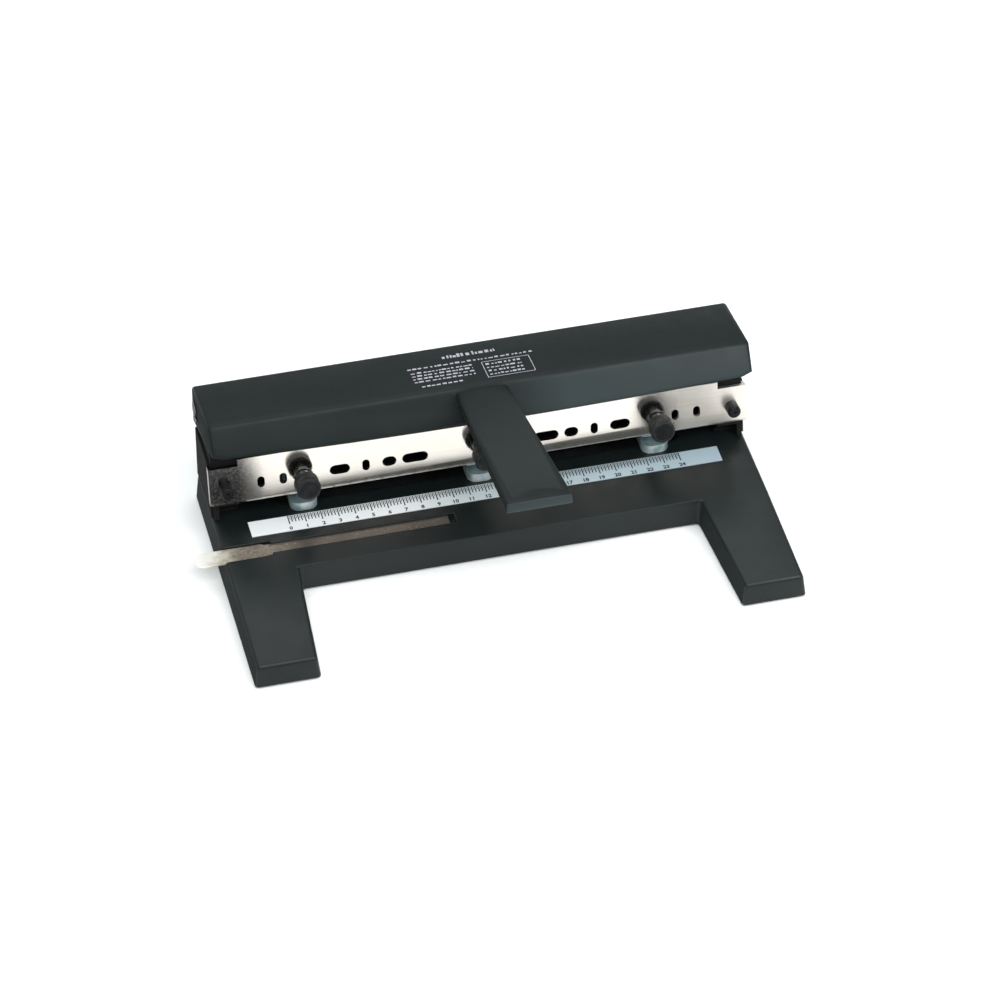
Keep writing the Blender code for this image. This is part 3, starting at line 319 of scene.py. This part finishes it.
def cast_zinc():
    """The punch heads: clouded zinc, painted a darker teal on top as painted shade, and paler on
    its edges, partly wear and partly a painted highlight.
    """
    surface = Surface("zinc_casting", 0.55)
    cloud = surface.noise(110.0, 4.0)
    pits = surface.noise(1400.0, 3.0, 0.6)
    body = surface.ramp(cloud, (0.38, (0.28, 0.43, 0.47)), (0.62, (0.82, 0.90, 0.92)))
    # Painted shade: faces turned up are painted a darker teal.
    top = surface.remap(surface.facing("Z"), 0.85, 0.97, 0.0, 0.6)
    body = surface.mix(top, body, (0.16, 0.26, 0.28))
    # Edges painted paler: partly wear and partly a painted highlight.
    rub_and_highlight = surface.math("MULTIPLY", surface.edges(0.0007), 0.5)
    colour = surface.mix(rub_and_highlight, body, (0.82, 0.86, 0.86))
    roughness = surface.remap(cloud, 0.3, 0.7, 0.42, 0.28)
    surface.bumps((cloud, 0.12, 0.0002), (pits, 0.18, 0.00006))
    return surface.finish(colour, roughness)


def black_oxide():
    """Blackened steel, paler grey on its edges, partly wear and partly a painted highlight."""
    surface = Surface("black_oxide_steel", 0.4, 0.22)
    cloud = surface.noise(240.0, 4.0)
    fine = surface.noise(2200.0, 2.0)
    body = surface.ramp(cloud, (0.35, (0.005, 0.006, 0.007)), (0.7, (0.015, 0.016, 0.018)))
    # Edges painted paler: partly wear and partly a painted highlight.
    rub_and_highlight = surface.math("MULTIPLY", surface.edges(0.0003), 0.35)
    colour = surface.mix(rub_and_highlight, body, (0.22, 0.22, 0.22))
    surface.bumps((fine, 0.12, 0.00004))
    return surface.finish(colour, surface.remap(cloud, 0.3, 0.7, 0.44, 0.30))


def guide_steel():
    """The guide strip: its end that sticks out is clean and pale, the rest dull and stained, with
    painted glints.
    """
    surface = Surface("guide_strip_metal", 0.55)
    wobble = surface.math("MULTIPLY", surface.noise(90.0, 3.0), 0.03)
    reach = surface.math("ADD", surface.along("X"), wobble)
    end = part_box("edge_guide")[0].x - ROOT.x
    share = surface.remap(reach, end + 0.010, end + 0.115, 0.0, 1.0)
    clean, tan = (0.92, 0.90, 0.84), (0.56, 0.51, 0.40)
    wear_and_sheen, dull = (0.25, 0.215, 0.175), (0.115, 0.098, 0.085)
    stops = ((0.0, clean), (0.10, clean), (0.20, tan), (0.33, wear_and_sheen), (0.70, dull))
    body = surface.ramp(share, *stops)
    stain = surface.remap(surface.noise(420.0, 4.0, 0.65), 0.45, 0.72, 0.0, 0.75)
    stain = surface.math("MULTIPLY", stain, surface.remap(share, 0.10, 0.30, 0.06, 1.0))
    stained = surface.mix(stain, body, (0.10, 0.085, 0.075))
    # Painted highlight: small bright spots, partly real nicks and partly painted glints.
    nick_and_glint = surface.remap(surface.noise(900.0, 2.0, 0.5), 0.66, 0.74, 0.0, 0.9)
    painted_glint = surface.math("MULTIPLY", nick_and_glint, surface.remap(share, 0.1, 0.7, 1.0, 0.25))
    colour = surface.mix(painted_glint, stained, (0.9, 0.88, 0.84))
    surface.bumps((surface.noise(700.0, 3.0), 0.2, 0.00006))
    return surface.finish(colour, surface.remap(stain, 0.0, 1.0, 0.34, 0.58))


def printed_strip():
    """The ruler's face. Its left half is pale, a painted glare, and its right half a duller blue.
    """
    surface = Surface("ruler_strip_face", 0.0)
    cloud = surface.math("MULTIPLY", surface.noise(50.0, 3.0), 0.12)
    fine = surface.noise(1800.0, 2.0)
    # Painted glare: the left half is painted pale, turning to a duller blue on the right.
    length = surface.remap(surface.along("X"), -0.145, 0.145, 0.0, 0.9)
    share = surface.math("ADD", length, cloud)
    glare_white, blue, deep = (0.86, 0.89, 0.91), (0.47, 0.57, 0.61), (0.34, 0.43, 0.49)
    colour = surface.ramp(share, (0.36, glare_white), (0.60, blue), (0.95, deep))
    surface.bumps((fine, 0.06, 0.00003))
    return surface.finish(colour, surface.remap(fine, 0.3, 0.7, 0.42, 0.54))


def plain(name, dark, light, rough, scale, specular=0.5, strength=0.15):
    """Ink, rubber and plastic: two close tones and a fine texture."""
    surface = Surface(name, 0.0, specular)
    fine = surface.noise(scale, 3.0, 0.6)
    colour = surface.ramp(surface.noise(scale / 8, 3.0), (0.3, dark), (0.7, light))
    surface.bumps((fine, strength, 0.00008))
    return surface.finish(colour, surface.remap(fine, 0.3, 0.7, rough - 0.05, rough + 0.05))


BASE_PAINT = paint(
    "base_paint", (0.0036, 0.0060, 0.0062), (0.0056, 0.0090, 0.0092), 0.40, 0.31, 0.0016
)
COVER_PAINT = paint(
    "cover_paint", (0.0030, 0.0054, 0.0055), (0.0046, 0.0078, 0.0078), 0.42, 0.22, 0.0030,
    cover_wear,
)
FRAME_PAINT = paint(
    "frame_paint", (0.0060, 0.0065, 0.0058), (0.0100, 0.0107, 0.0095), 0.74, 0.12, 0.0004
)
PANEL_PAINT = paint(
    "panel_paint", (0.0045, 0.0062, 0.0062), (0.0075, 0.0100, 0.0100), 0.46, 0.28, 0.0004
)
NICKEL = brushed_nickel()
ZINC = cast_zinc()
GROUND = metal("ground_steel", (0.50, 0.50, 0.49), (0.70, 0.69, 0.67), 0.24, 500.0)
WIRE = metal("spring_wire", (0.42, 0.42, 0.41), (0.62, 0.61, 0.60), 0.28, 700.0)
NECK = metal("neck_steel", (0.05, 0.055, 0.055), (0.11, 0.115, 0.115), 0.26, 600.0)
OXIDE = black_oxide()
GUIDE = guide_steel()
STRIP = printed_strip()
INK = plain("black_ink", (0.010, 0.011, 0.013), (0.022, 0.024, 0.028), 0.55, 2500.0)
PALE_INK = plain("pale_ink", (0.34, 0.32, 0.37), (0.50, 0.48, 0.54), 0.60, 2500.0)
RUBBER = plain("black_rubber", (0.014, 0.014, 0.014), (0.026, 0.026, 0.026), 0.82, 1500.0, 0.3)
PLASTIC = plain("tray_plastic", (0.022, 0.022, 0.024), (0.032, 0.032, 0.035), 0.50, 1200.0)


# ---------------------------------------------------------------- pieces


def piece(name, bm, material, body, replaced=(), matrix=None, angle=35.0):
    """A mesh object in the row frame that rides on a body and can stand for CAD nodes."""
    mesh = bpy.data.meshes.new(name)
    bm.to_mesh(mesh)
    bm.free()
    if "custom_normal" in mesh.attributes:
        mesh.attributes.remove(mesh.attributes["custom_normal"])
    if matrix:
        mesh.transform(matrix)
    mesh.shade_smooth()
    mesh.set_sharp_from_angle(angle=math.radians(angle))
    mesh.materials.clear()
    mesh.materials.append(material)
    obj = bpy.data.objects.new(name, mesh)
    bpy.context.scene.collection.objects.link(obj)
    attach(obj, body)
    if replaced:
        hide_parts(*replaced)
    return obj


def refined(node, material, width=0.0, segments=2, angle=40.0, shaping=None):
    """The CAD node's own shape as one welded mesh of flat faces, with its edges rounded."""
    bm = bmesh.new()
    bm.from_mesh(frame["nodes"][node].data)
    bmesh.ops.remove_doubles(bm, verts=bm.verts, dist=0.000002)
    flat = math.radians(0.4)
    bmesh.ops.dissolve_limit(bm, angle_limit=flat, verts=bm.verts, edges=bm.edges)
    if shaping:
        shaping(bm)
    obj = piece(f"{node}_surface", bm, material, BODY_OF[node], (node,))
    if width:
        bevel = obj.modifiers.new("rounded", "BEVEL")
        bevel.width = width
        bevel.segments = segments
        bevel.limit_method = "ANGLE"
        bevel.angle_limit = math.radians(angle)
        bevel.harden_normals = True


def lathe(bm, profile, steps=64, teeth=None):
    """Turns a closed profile of (radius, height) about z. teeth(angle, index) moves a ring."""
    rings = []
    for index, (radius, height) in enumerate(profile):
        if radius < 1e-7:
            rings.append([bm.verts.new((0.0, 0.0, height))])
            continue
        ring = []
        for step in range(steps):
            turn = math.tau * step / steps
            reach = radius + (teeth(turn, index) if teeth else 0.0)
            ring.append(bm.verts.new((reach * math.cos(turn), reach * math.sin(turn), height)))
        rings.append(ring)
    for lower, upper in zip(rings, rings[1:]):
        for step in range(steps):
            after = (step + 1) % steps
            corners = []
            for ring, spot in ((lower, step), (lower, after), (upper, after), (upper, step)):
                vert = ring[spot % len(ring)]
                if vert not in corners:
                    corners.append(vert)
            if len(corners) > 2:
                bm.faces.new(corners)
    bmesh.ops.recalc_face_normals(bm, faces=bm.faces)
    return bm


def turned(name, profile, material, node, matrix, steps=64, teeth=None, angle=35.0):
    bm = lathe(bmesh.new(), profile, steps, teeth)
    return piece(name, bm, material, BODY_OF[node], (node,), matrix, angle)


def add_box(bm, low, high):
    size = Vector(high) - Vector(low)
    middle = (Vector(high) + Vector(low)) / 2
    made = bmesh.ops.create_cube(bm, size=1.0)["verts"]
    bmesh.ops.scale(bm, vec=size, verts=made)
    bmesh.ops.translate(bm, vec=middle, verts=made)


def arc_profile(centre, radius, start, end, steps):
    """Points on a circle in the (radius, height) plane, from one angle to another in degrees."""
    points = []
    for i in range(steps + 1):
        turn = math.radians(start + (end - start) * i / steps)
        points.append((centre[0] + radius * math.cos(turn), centre[1] + radius * math.sin(turn)))
    return points


def make_painted_parts():
    refined("base", BASE_PAINT)
    refined("lever_cover", COVER_PAINT)
    refined("back_panel", PANEL_PAINT, 0.0003)
    for side in SIDES:
        refined(f"{side}_side_frame", FRAME_PAINT, 0.0003)


def roll_bar_foot(bm):
    """Rounds the bar's front lower edge, which is rolled under along its whole length."""
    foot = local(0.0, BAR_FOOT.y, BAR_FOOT.z).yz
    edges = []
    for edge in bm.edges:
        if all((vert.co.yz - foot).length < 0.00002 for vert in edge.verts):
            edges.append(edge)
    bmesh.ops.bevel(bm, geom=edges, offset=0.0020, segments=6, affect="EDGES", profile=0.5)


def make_plated_parts():
    refined("template_bar", NICKEL, 0.00015, shaping=roll_bar_foot)
    refined("edge_guide", GUIDE, 0.00025)
    refined("ruler_strip", STRIP, 0.0001)
    refined("bottom_plate", OXIDE, 0.0002)
    refined("chip_tray", PLASTIC, 0.0003)
    for head in HEADS:
        refined(f"head_body_{head}", ZINC, 0.0004)


def capped_rod(name, node, radius, length, chamfer, material, matrix):
    half = length / 2
    profile = [(0.0, half), (radius - chamfer, half), (radius, half - chamfer)]
    profile += [(radius, chamfer - half), (radius - chamfer, -half), (0.0, -half)]
    turned(name, profile, material, node, matrix)


def make_rods():
    for node, material, chamfer in (
        ("press_rod", GROUND, 0.0006),
        ("head_rail", GROUND, 0.0006),
        ("pivot_shaft", OXIDE, 0.0005),
    ):
        low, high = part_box(node)
        middle = Matrix.Translation((low + high) / 2) @ ALONG_X
        radius = (high.z - low.z) / 2
        capped_rod(f"{node}_turned", node, radius, high.x - low.x, chamfer, material, middle)


def make_feet():
    for row in ("front", "rear"):
        for side in SIDES:
            node = f"foot_{row}_{side}"
            low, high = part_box(node)
            radius = (high.x - low.x) / 2
            spot = Matrix.Translation(((low.x + high.x) / 2, (low.y + high.y) / 2, 0.0))
            profile = [(0.0, 0.0065), (0.0020, 0.0065), (0.0020, 0.0012), (radius - 0.0003, 0.0012)]
            profile += [(radius, 0.0009), (radius, 0.0006), (radius - 0.0006, 0.0)]
            profile += [(radius - 0.0018, 0.0), (radius - 0.0022, 0.0003), (0.0, 0.0003)]
            turned(f"{node}_pad", profile, RUBBER, node, spot)


def make_punch_parts():
    """Pins, dies and return springs."""
    for head, x in HEADS.items():
        pin = [(0.0, 0.0695), (0.0046, 0.0695), (0.0053, 0.0692), (0.0055, 0.0688)]
        pin += [(0.0055, 0.0668), (0.0052, 0.0665), (0.0037, 0.0665), (0.0035, 0.0662)]
        pin += [(0.0035, 0.0298), (0.0033, 0.0296), (0.0024, 0.0302), (0.0, 0.0305)]
        turned(f"punch_pin_{head}_ground", pin, GROUND, f"punch_pin_{head}", place(x, PIN_Y, 0.0))
        die = [(0.00358, 0.0243), (0.0048, 0.0243), (0.0055, 0.0240), (0.0055, 0.0195)]
        die += [(0.0040, 0.0195), (0.00358, 0.0220), (0.00358, 0.0243)]
        turned(f"die_{head}_ground", die, GROUND, f"die_{head}", place(x, PIN_Y, 0.0))
        make_spring(head, x)


def make_spring(head, x):
    """A coil with closed, flattened end turns."""
    low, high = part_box(f"return_spring_{head}")
    wire = 0.00055
    coil = 0.0048
    turns = 6.0
    per_turn = 28
    sides = 10
    bottom = low.z + wire
    top = high.z - wire
    count = int(turns * per_turn) + 1
    dead = 0.75 / turns
    end_turn = 1.9 * wire
    bm = bmesh.new()
    rings = []
    for i in range(count):
        share = i / (count - 1)
        climb = min(1.0, max(0.0, (share - dead) / (1 - 2 * dead)))
        closed = (min(share, dead) + max(0.0, share - 1 + dead)) / dead * end_turn
        height = bottom + closed + climb * (top - bottom - 2 * end_turn)
        turn = math.tau * turns * share
        outward = Vector((math.cos(turn), math.sin(turn), 0.0))
        centre = outward * coil + Vector((0.0, 0.0, height))
        ring = []
        for side in range(sides):
            angle = math.tau * side / sides
            rim = outward * math.cos(angle) + Vector((0.0, 0.0, math.sin(angle)))
            ring.append(bm.verts.new(centre + wire * rim))
        rings.append(ring)
    for first, second in zip(rings, rings[1:]):
        for side in range(sides):
            after = (side + 1) % sides
            bm.faces.new((first[side], first[after], second[after], second[side]))
    bm.faces.new(rings[0])
    bm.faces.new(rings[-1])
    bmesh.ops.recalc_face_normals(bm, faces=bm.faces)
    node = f"return_spring_{head}"
    spot = place(x, PIN_Y, 0.0)
    spring = piece(f"{node}_coil", bm, WIRE, f"head_{head}", (node,), spot, 60.0)
    height = high.z - low.z
    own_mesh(spring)


def knob_teeth(turn, index):
    """The knurl: fine straight ridges on the rings between the head's two chamfers."""
    if 3 <= index <= 8:
        return -0.00028 * abs(math.sin(turn * 22))
    return 0.0


def make_thumbscrews():
    """A black knurled head on a dark neck. The knurled stretch has a groove round its middle."""
    radius = 0.0074
    start = 0.0078
    end = 0.0180
    head = [(0.0, end - 0.0002), (0.0052, end - 0.0002), (0.0056, end), (radius - 0.0010, end)]
    head += [(radius, end - 0.0009), (radius, 0.0141), (radius - 0.0005, 0.0137)]
    head += [(radius - 0.0005, 0.0131), (radius, 0.0127), (radius, start + 0.0009)]
    head += [(radius - 0.0012, start), (0.0, start)]
    neck = [(0.0, start + 0.0002), (0.0045, start + 0.0002), (0.0045, 0.0016), (0.0047, 0.0012)]
    neck += [(0.0054, 0.0010), (0.0056, 0.0008), (0.0056, 0.0005), (0.0053, 0.0003)]
    neck += [(0.0025, 0.0003)]
    pitch = 0.0008
    height = 0.0
    while height > -0.0066:
        neck += [(0.0025, height), (0.00215, height - pitch / 2)]
        height -= pitch
    neck += [(0.0020, -0.0070), (0.0, -0.0070)]
    for name, x in HEADS.items():
        node = f"thumbscrew_{name}"
        spot = bar_place(x, SLOT_LINE, 0.0)
        turned(f"{node}_head", head, OXIDE, node, spot, 176, knob_teeth, 25.0)
        turned(f"{node}_neck", neck, NECK, node, spot, 64)


def cross_recess(size, depth, top):
    """A cutter for a cross recess, as one solid with square arms."""
    bm = bmesh.new()
    arm = size * 0.24
    outline = [(arm, size), (-arm, size), (-arm, arm), (-size, arm), (-size, -arm), (-arm, -arm)]
    outline += [(-arm, -size), (arm, -size), (arm, -arm), (size, -arm), (size, arm), (arm, arm)]
    lower = [bm.verts.new((u * 0.55, v * 0.55, top - depth)) for u, v in outline]
    upper = [bm.verts.new((u, v, top + 0.0005)) for u, v in outline]
    bm.faces.new(lower)
    bm.faces.new(upper)
    for i in range(len(outline)):
        j = (i + 1) % len(outline)
        bm.faces.new((lower[i], lower[j], upper[j], upper[i]))
    bmesh.ops.recalc_face_normals(bm, faces=bm.faces)
    return bm


def screw(node, matrix, head_radius, dome, shoulder, shank_radius, shank_end, seat=None):
    """A domed screw with a cross recess. Its head is a cylinder from its seat to its shoulder."""
    crown = shoulder + dome
    seat = shoulder if seat is None else seat
    profile = [(0.0, crown)]
    profile += arc_profile((head_radius - dome, shoulder), dome, 90, 0, 8)
    profile += [(head_radius, seat), (shank_radius, seat)]
    pitch = 0.0007
    height = seat - pitch
    while height > shank_end + pitch:
        profile += [(shank_radius, height), (shank_radius * 0.86, height - pitch / 2)]
        height -= pitch
    profile += [(shank_radius * 0.8, shank_end), (0.0, shank_end)]
    obj = turned(f"{node}_cross_head", profile, OXIDE, node, matrix, 48)
    recess = bpy.data.meshes.new("recess")
    bm = cross_recess(head_radius * 0.52, min(0.7 * (crown - seat), 0.0020), crown)
    bm.to_mesh(recess)
    bm.free()
    recess.transform(matrix)
    cutter = bpy.data.objects.new("recess", recess)
    bpy.context.scene.collection.objects.link(cutter)
    cut = obj.modifiers.new("recess", "BOOLEAN")
    cut.object = cutter
    cut.solver = "EXACT"
    bpy.context.view_layer.update()
    depsgraph = bpy.context.evaluated_depsgraph_get()
    result = bpy.data.meshes.new_from_object(obj.evaluated_get(depsgraph))
    obj.modifiers.clear()
    obj.data = result
    result.set_sharp_from_angle(angle=math.radians(35.0))
    bpy.data.objects.remove(cutter, do_unlink=True)


def make_screws():
    for side, sign in SIDES.items():
        spot = bar_place(sign * BAR_SCREW_X, SLOT_LINE, 0.0)
        screw(f"bar_screw_{side}", spot, 0.0040, 0.0014, 0.0072, 0.0019, -0.0075, 0.0003)
        for row in ("front", "rear"):
            node = f"frame_screw_{row}_{side}"
            low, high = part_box(node)
            middle = (low + high) / 2
            spot = Matrix.Translation((middle.x, middle.y, 0.0))
            screw(node, spot, 0.0034, 0.0022, high.z - 0.0022, 0.0018, low.z)
            node = f"plate_screw_{row}_{side}"
            low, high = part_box(node)
            middle = (low + high) / 2
            turned_over = Matrix.Rotation(math.pi, 4, "X")
            spot = Matrix.Translation((middle.x, middle.y, 0.0)) @ turned_over
            dome = 0.0009
            screw(node, spot, 0.0026, dome, -low.z - dome, 0.0011, -high.z)


def make_pivot_clips():
    """Retaining rings with an open side and two relief notches, as a stamped outline."""
    for side in SIDES:
        node = f"pivot_clip_{side}"
        low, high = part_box(node)
        inner = 0.00308
        outer = (high.z - low.z) / 2
        points = []
        steps = 60
        for i in range(steps + 1):
            turn = math.radians(-68.0 + 316.0 * i / steps)
            points.append((outer * math.cos(turn), outer * math.sin(turn)))
        for i in range(steps, -1, -1):
            degrees = -52.0 + 284.0 * i / steps
            turn = math.radians(degrees)
            notch = any(abs(degrees - middle) < 24.0 for middle in (15.0, 165.0))
            reach = inner + (0.0014 if notch else 0.0)
            points.append((reach * math.cos(turn), reach * math.sin(turn)))
        thick = high.x - low.x
        bm = bmesh.new()
        lower = [bm.verts.new((u, v, -thick / 2)) for u, v in points]
        upper = [bm.verts.new((u, v, thick / 2)) for u, v in points]
        bm.faces.new(lower)
        bm.faces.new(upper)
        for i in range(len(points)):
            j = (i + 1) % len(points)
            bm.faces.new((lower[i], lower[j], upper[j], upper[i]))
        bmesh.ops.recalc_face_normals(bm, faces=bm.faces)
        facing = Matrix.Rotation(math.radians(90.0 if side == "right" else 0.0), 4, "Z")
        spot = Matrix.Translation((low + high) / 2) @ ALONG_X @ facing
        piece(f"{node}_ring", bm, OXIDE, BODY_OF[node], (node,), spot)


def make_ruler_marks():
    """Millimetre ticks along the rear edge and plain numbers along the front edge.

    Every tenth tick is the longest and has a number. The other even ones are longer and thicker
    than the odd ones.
    """
    low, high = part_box("ruler_strip")
    first = low.x + RULER_MARGIN
    last = high.x - RULER_MARGIN
    rear = high.y - TICK_INSET
    top = high.z + PRINT_LIFT
    bm = bmesh.new()
    count = int((last - first) / MILLIMETRE)
    for i in range(count + 1):
        x = first + i * MILLIMETRE
        reach, half = LONGEST_TICK if i % 10 == 0 else (EVEN_TICK, ODD_TICK)[i % 2]
        add_box(bm, (x - half, rear - reach, high.z), (x + half, rear, top))
    piece("ruler_ticks", bm, INK, "frame", ())
    bm = bmesh.new()
    for number in range(count // 10 + 1):
        x = first + 10 * number * MILLIMETRE
        add_number(bm, str(number), (x, low.y + 0.0020, high.z), 0.0040)
    piece("ruler_numbers", bm, INK, "frame", ())


def add_number(bm, text, spot, size):
    curve = bpy.data.curves.new("number", "FONT")
    curve.body = text
    curve.size = size
    curve.align_x = "CENTER"
    curve.align_y = "CENTER"
    curve.extrude = PRINT_LIFT / 2
    curve.offset = 0.00015
    curve.resolution_u = 2
    obj = bpy.data.objects.new("number", curve)
    bpy.context.scene.collection.objects.link(obj)
    bpy.context.view_layer.update()
    depsgraph = bpy.context.evaluated_depsgraph_get()
    mesh = bpy.data.meshes.new_from_object(obj.evaluated_get(depsgraph))
    mesh.transform(Matrix.Translation(Vector(spot) + Vector((0.0, 0.0, PRINT_LIFT / 2))))
    bm.from_mesh(mesh)
    bpy.data.meshes.remove(mesh)
    bpy.data.objects.remove(obj, do_unlink=True)
    bmesh.ops.remove_doubles(bm, verts=bm.verts, dist=0.000001)


def cover_top_place():
    """Axes on the cover's sloping top: x along it, y up the slope to the rear, z out of it."""
    rear = Vector((0.0, 0.1780, 0.0836))
    front = Vector((0.0, 0.1280, 0.0924))
    slope = math.atan2(front.z - rear.z, rear.y - front.y)
    return Matrix.Translation(ROOT + front) @ Matrix.Rotation(-slope, 4, "X")


def make_cover_print():
    """A generic label: rows of short bars and an outlined box, with no lettering."""
    rng = random.Random(7)
    bm = bmesh.new()

    def bar(x0, x1, y0, y1):
        add_box(bm, (x0, y0, 0.0), (x1, y1, PRINT_LIFT))

    def row(x0, x1, y, height):
        x = x0
        while x < x1:
            length = rng.uniform(0.0010, 0.0030)
            bar(x, min(x + length, x1), y, y + height * rng.uniform(0.7, 1.4))
            x += length + rng.uniform(0.0005, 0.0016)

    row(-0.0150, 0.0170, 0.0355, 0.0030)
    row(-0.0380, 0.0380, 0.0280, 0.0013)
    for y in (0.0230, 0.0195, 0.0160, 0.0125):
        row(-0.0370, 0.0000, y, 0.0012)
    row(-0.0340, -0.0080, 0.0065, 0.0012)
    left, right, front, rear = 0.0060, 0.0350, 0.0060, 0.0250
    line = 0.0004
    bar(left, right, front, front + line)
    bar(left, right, rear - line, rear)
    bar(left, left + line, front, rear)
    bar(right - line, right, front, rear)
    for y in (0.0208, 0.0168, 0.0128, 0.0088):
        row(left + 0.0020, right - 0.0060, y, 0.0013)
    piece("cover_print", bm, PALE_INK, "lever", (), cover_top_place())


# ---------------------------------------------------------------- stage


def aimed(obj, spot, target):
    obj.location = spot
    obj.rotation_euler = (Vector(target) - Vector(spot)).to_track_quat("-Z", "Y").to_euler()


def make_camera():
    data = bpy.data.cameras.new("camera")
    data.sensor_width = 36.0
    data.lens = 181.26
    data.clip_start = 0.05
    data.clip_end = 50.0
    camera = bpy.data.objects.new("camera", data)
    bpy.context.scene.collection.objects.link(camera)
    aimed(camera, (-0.52615, -2.14015, 1.97453), (0.0083, 0.01382, 0.0315))
    bpy.context.scene.camera = camera


def make_light(name, spot, size, power, target=(0.0, 0.0, 0.05)):
    data = bpy.data.lights.new(name, "AREA")
    data.shape = "RECTANGLE"
    data.size, data.size_y = size
    data.energy = power
    light = bpy.data.objects.new(name, data)
    bpy.context.scene.collection.objects.link(light)
    aimed(light, spot, target)


def make_stage():
    mesh = bpy.data.meshes.new("floor")
    bm = bmesh.new()
    bmesh.ops.create_grid(bm, x_segments=1, y_segments=1, size=6.0)
    bm.to_mesh(mesh)
    bm.free()
    surface = Surface("pale_floor", 0.0, 0.1)
    cloud = surface.noise(3.0, 2.0)
    tone = surface.ramp(cloud, (0.3, (0.96, 0.96, 0.96)), (0.7, (0.98, 0.98, 0.98)))
    mesh.materials.append(surface.finish(tone, 0.9))
    floor = bpy.data.objects.new("floor", mesh)
    bpy.context.scene.collection.objects.link(floor)
    world = bpy.data.worlds.new("studio")
    world.use_nodes = True
    nodes = world.node_tree.nodes
    links = world.node_tree.links
    direction = nodes.new("ShaderNodeTexCoord").outputs["Generated"]
    height = nodes.new("ShaderNodeSeparateXYZ")
    links.new(direction, height.inputs[0])
    sky = nodes.new("ShaderNodeValToRGB")
    links.new(height.outputs["Z"], sky.inputs["Fac"])
    levels = ((0.25, 0.30), (0.75, 0.85))
    for element, (position, level) in zip(sky.color_ramp.elements, levels):
        element.position = position
        element.color = (0.93 * level, level, level, 1.0)
    links.new(sky.outputs["Color"], nodes["Background"].inputs["Color"])
    bpy.context.scene.world = world
    bpy.context.scene.view_settings.view_transform = "Standard"
    make_light("overhead", (0.0, 1.2, 2.4), (3.0, 2.4), 23.0)
    make_light("key", (0.1, -1.7, 2.6), (3.4, 1.8), 71.0)
    make_light("front_pool", (0.60, -0.55, 0.60), (0.3, 0.3), 2.2, target=(0.33, -0.25, 0.0))


make_painted_parts()
make_plated_parts()
make_rods()
make_feet()
make_punch_parts()
make_thumbscrews()
make_screws()
make_pivot_clips()
make_ruler_marks()
make_cover_print()
make_camera()
make_stage()
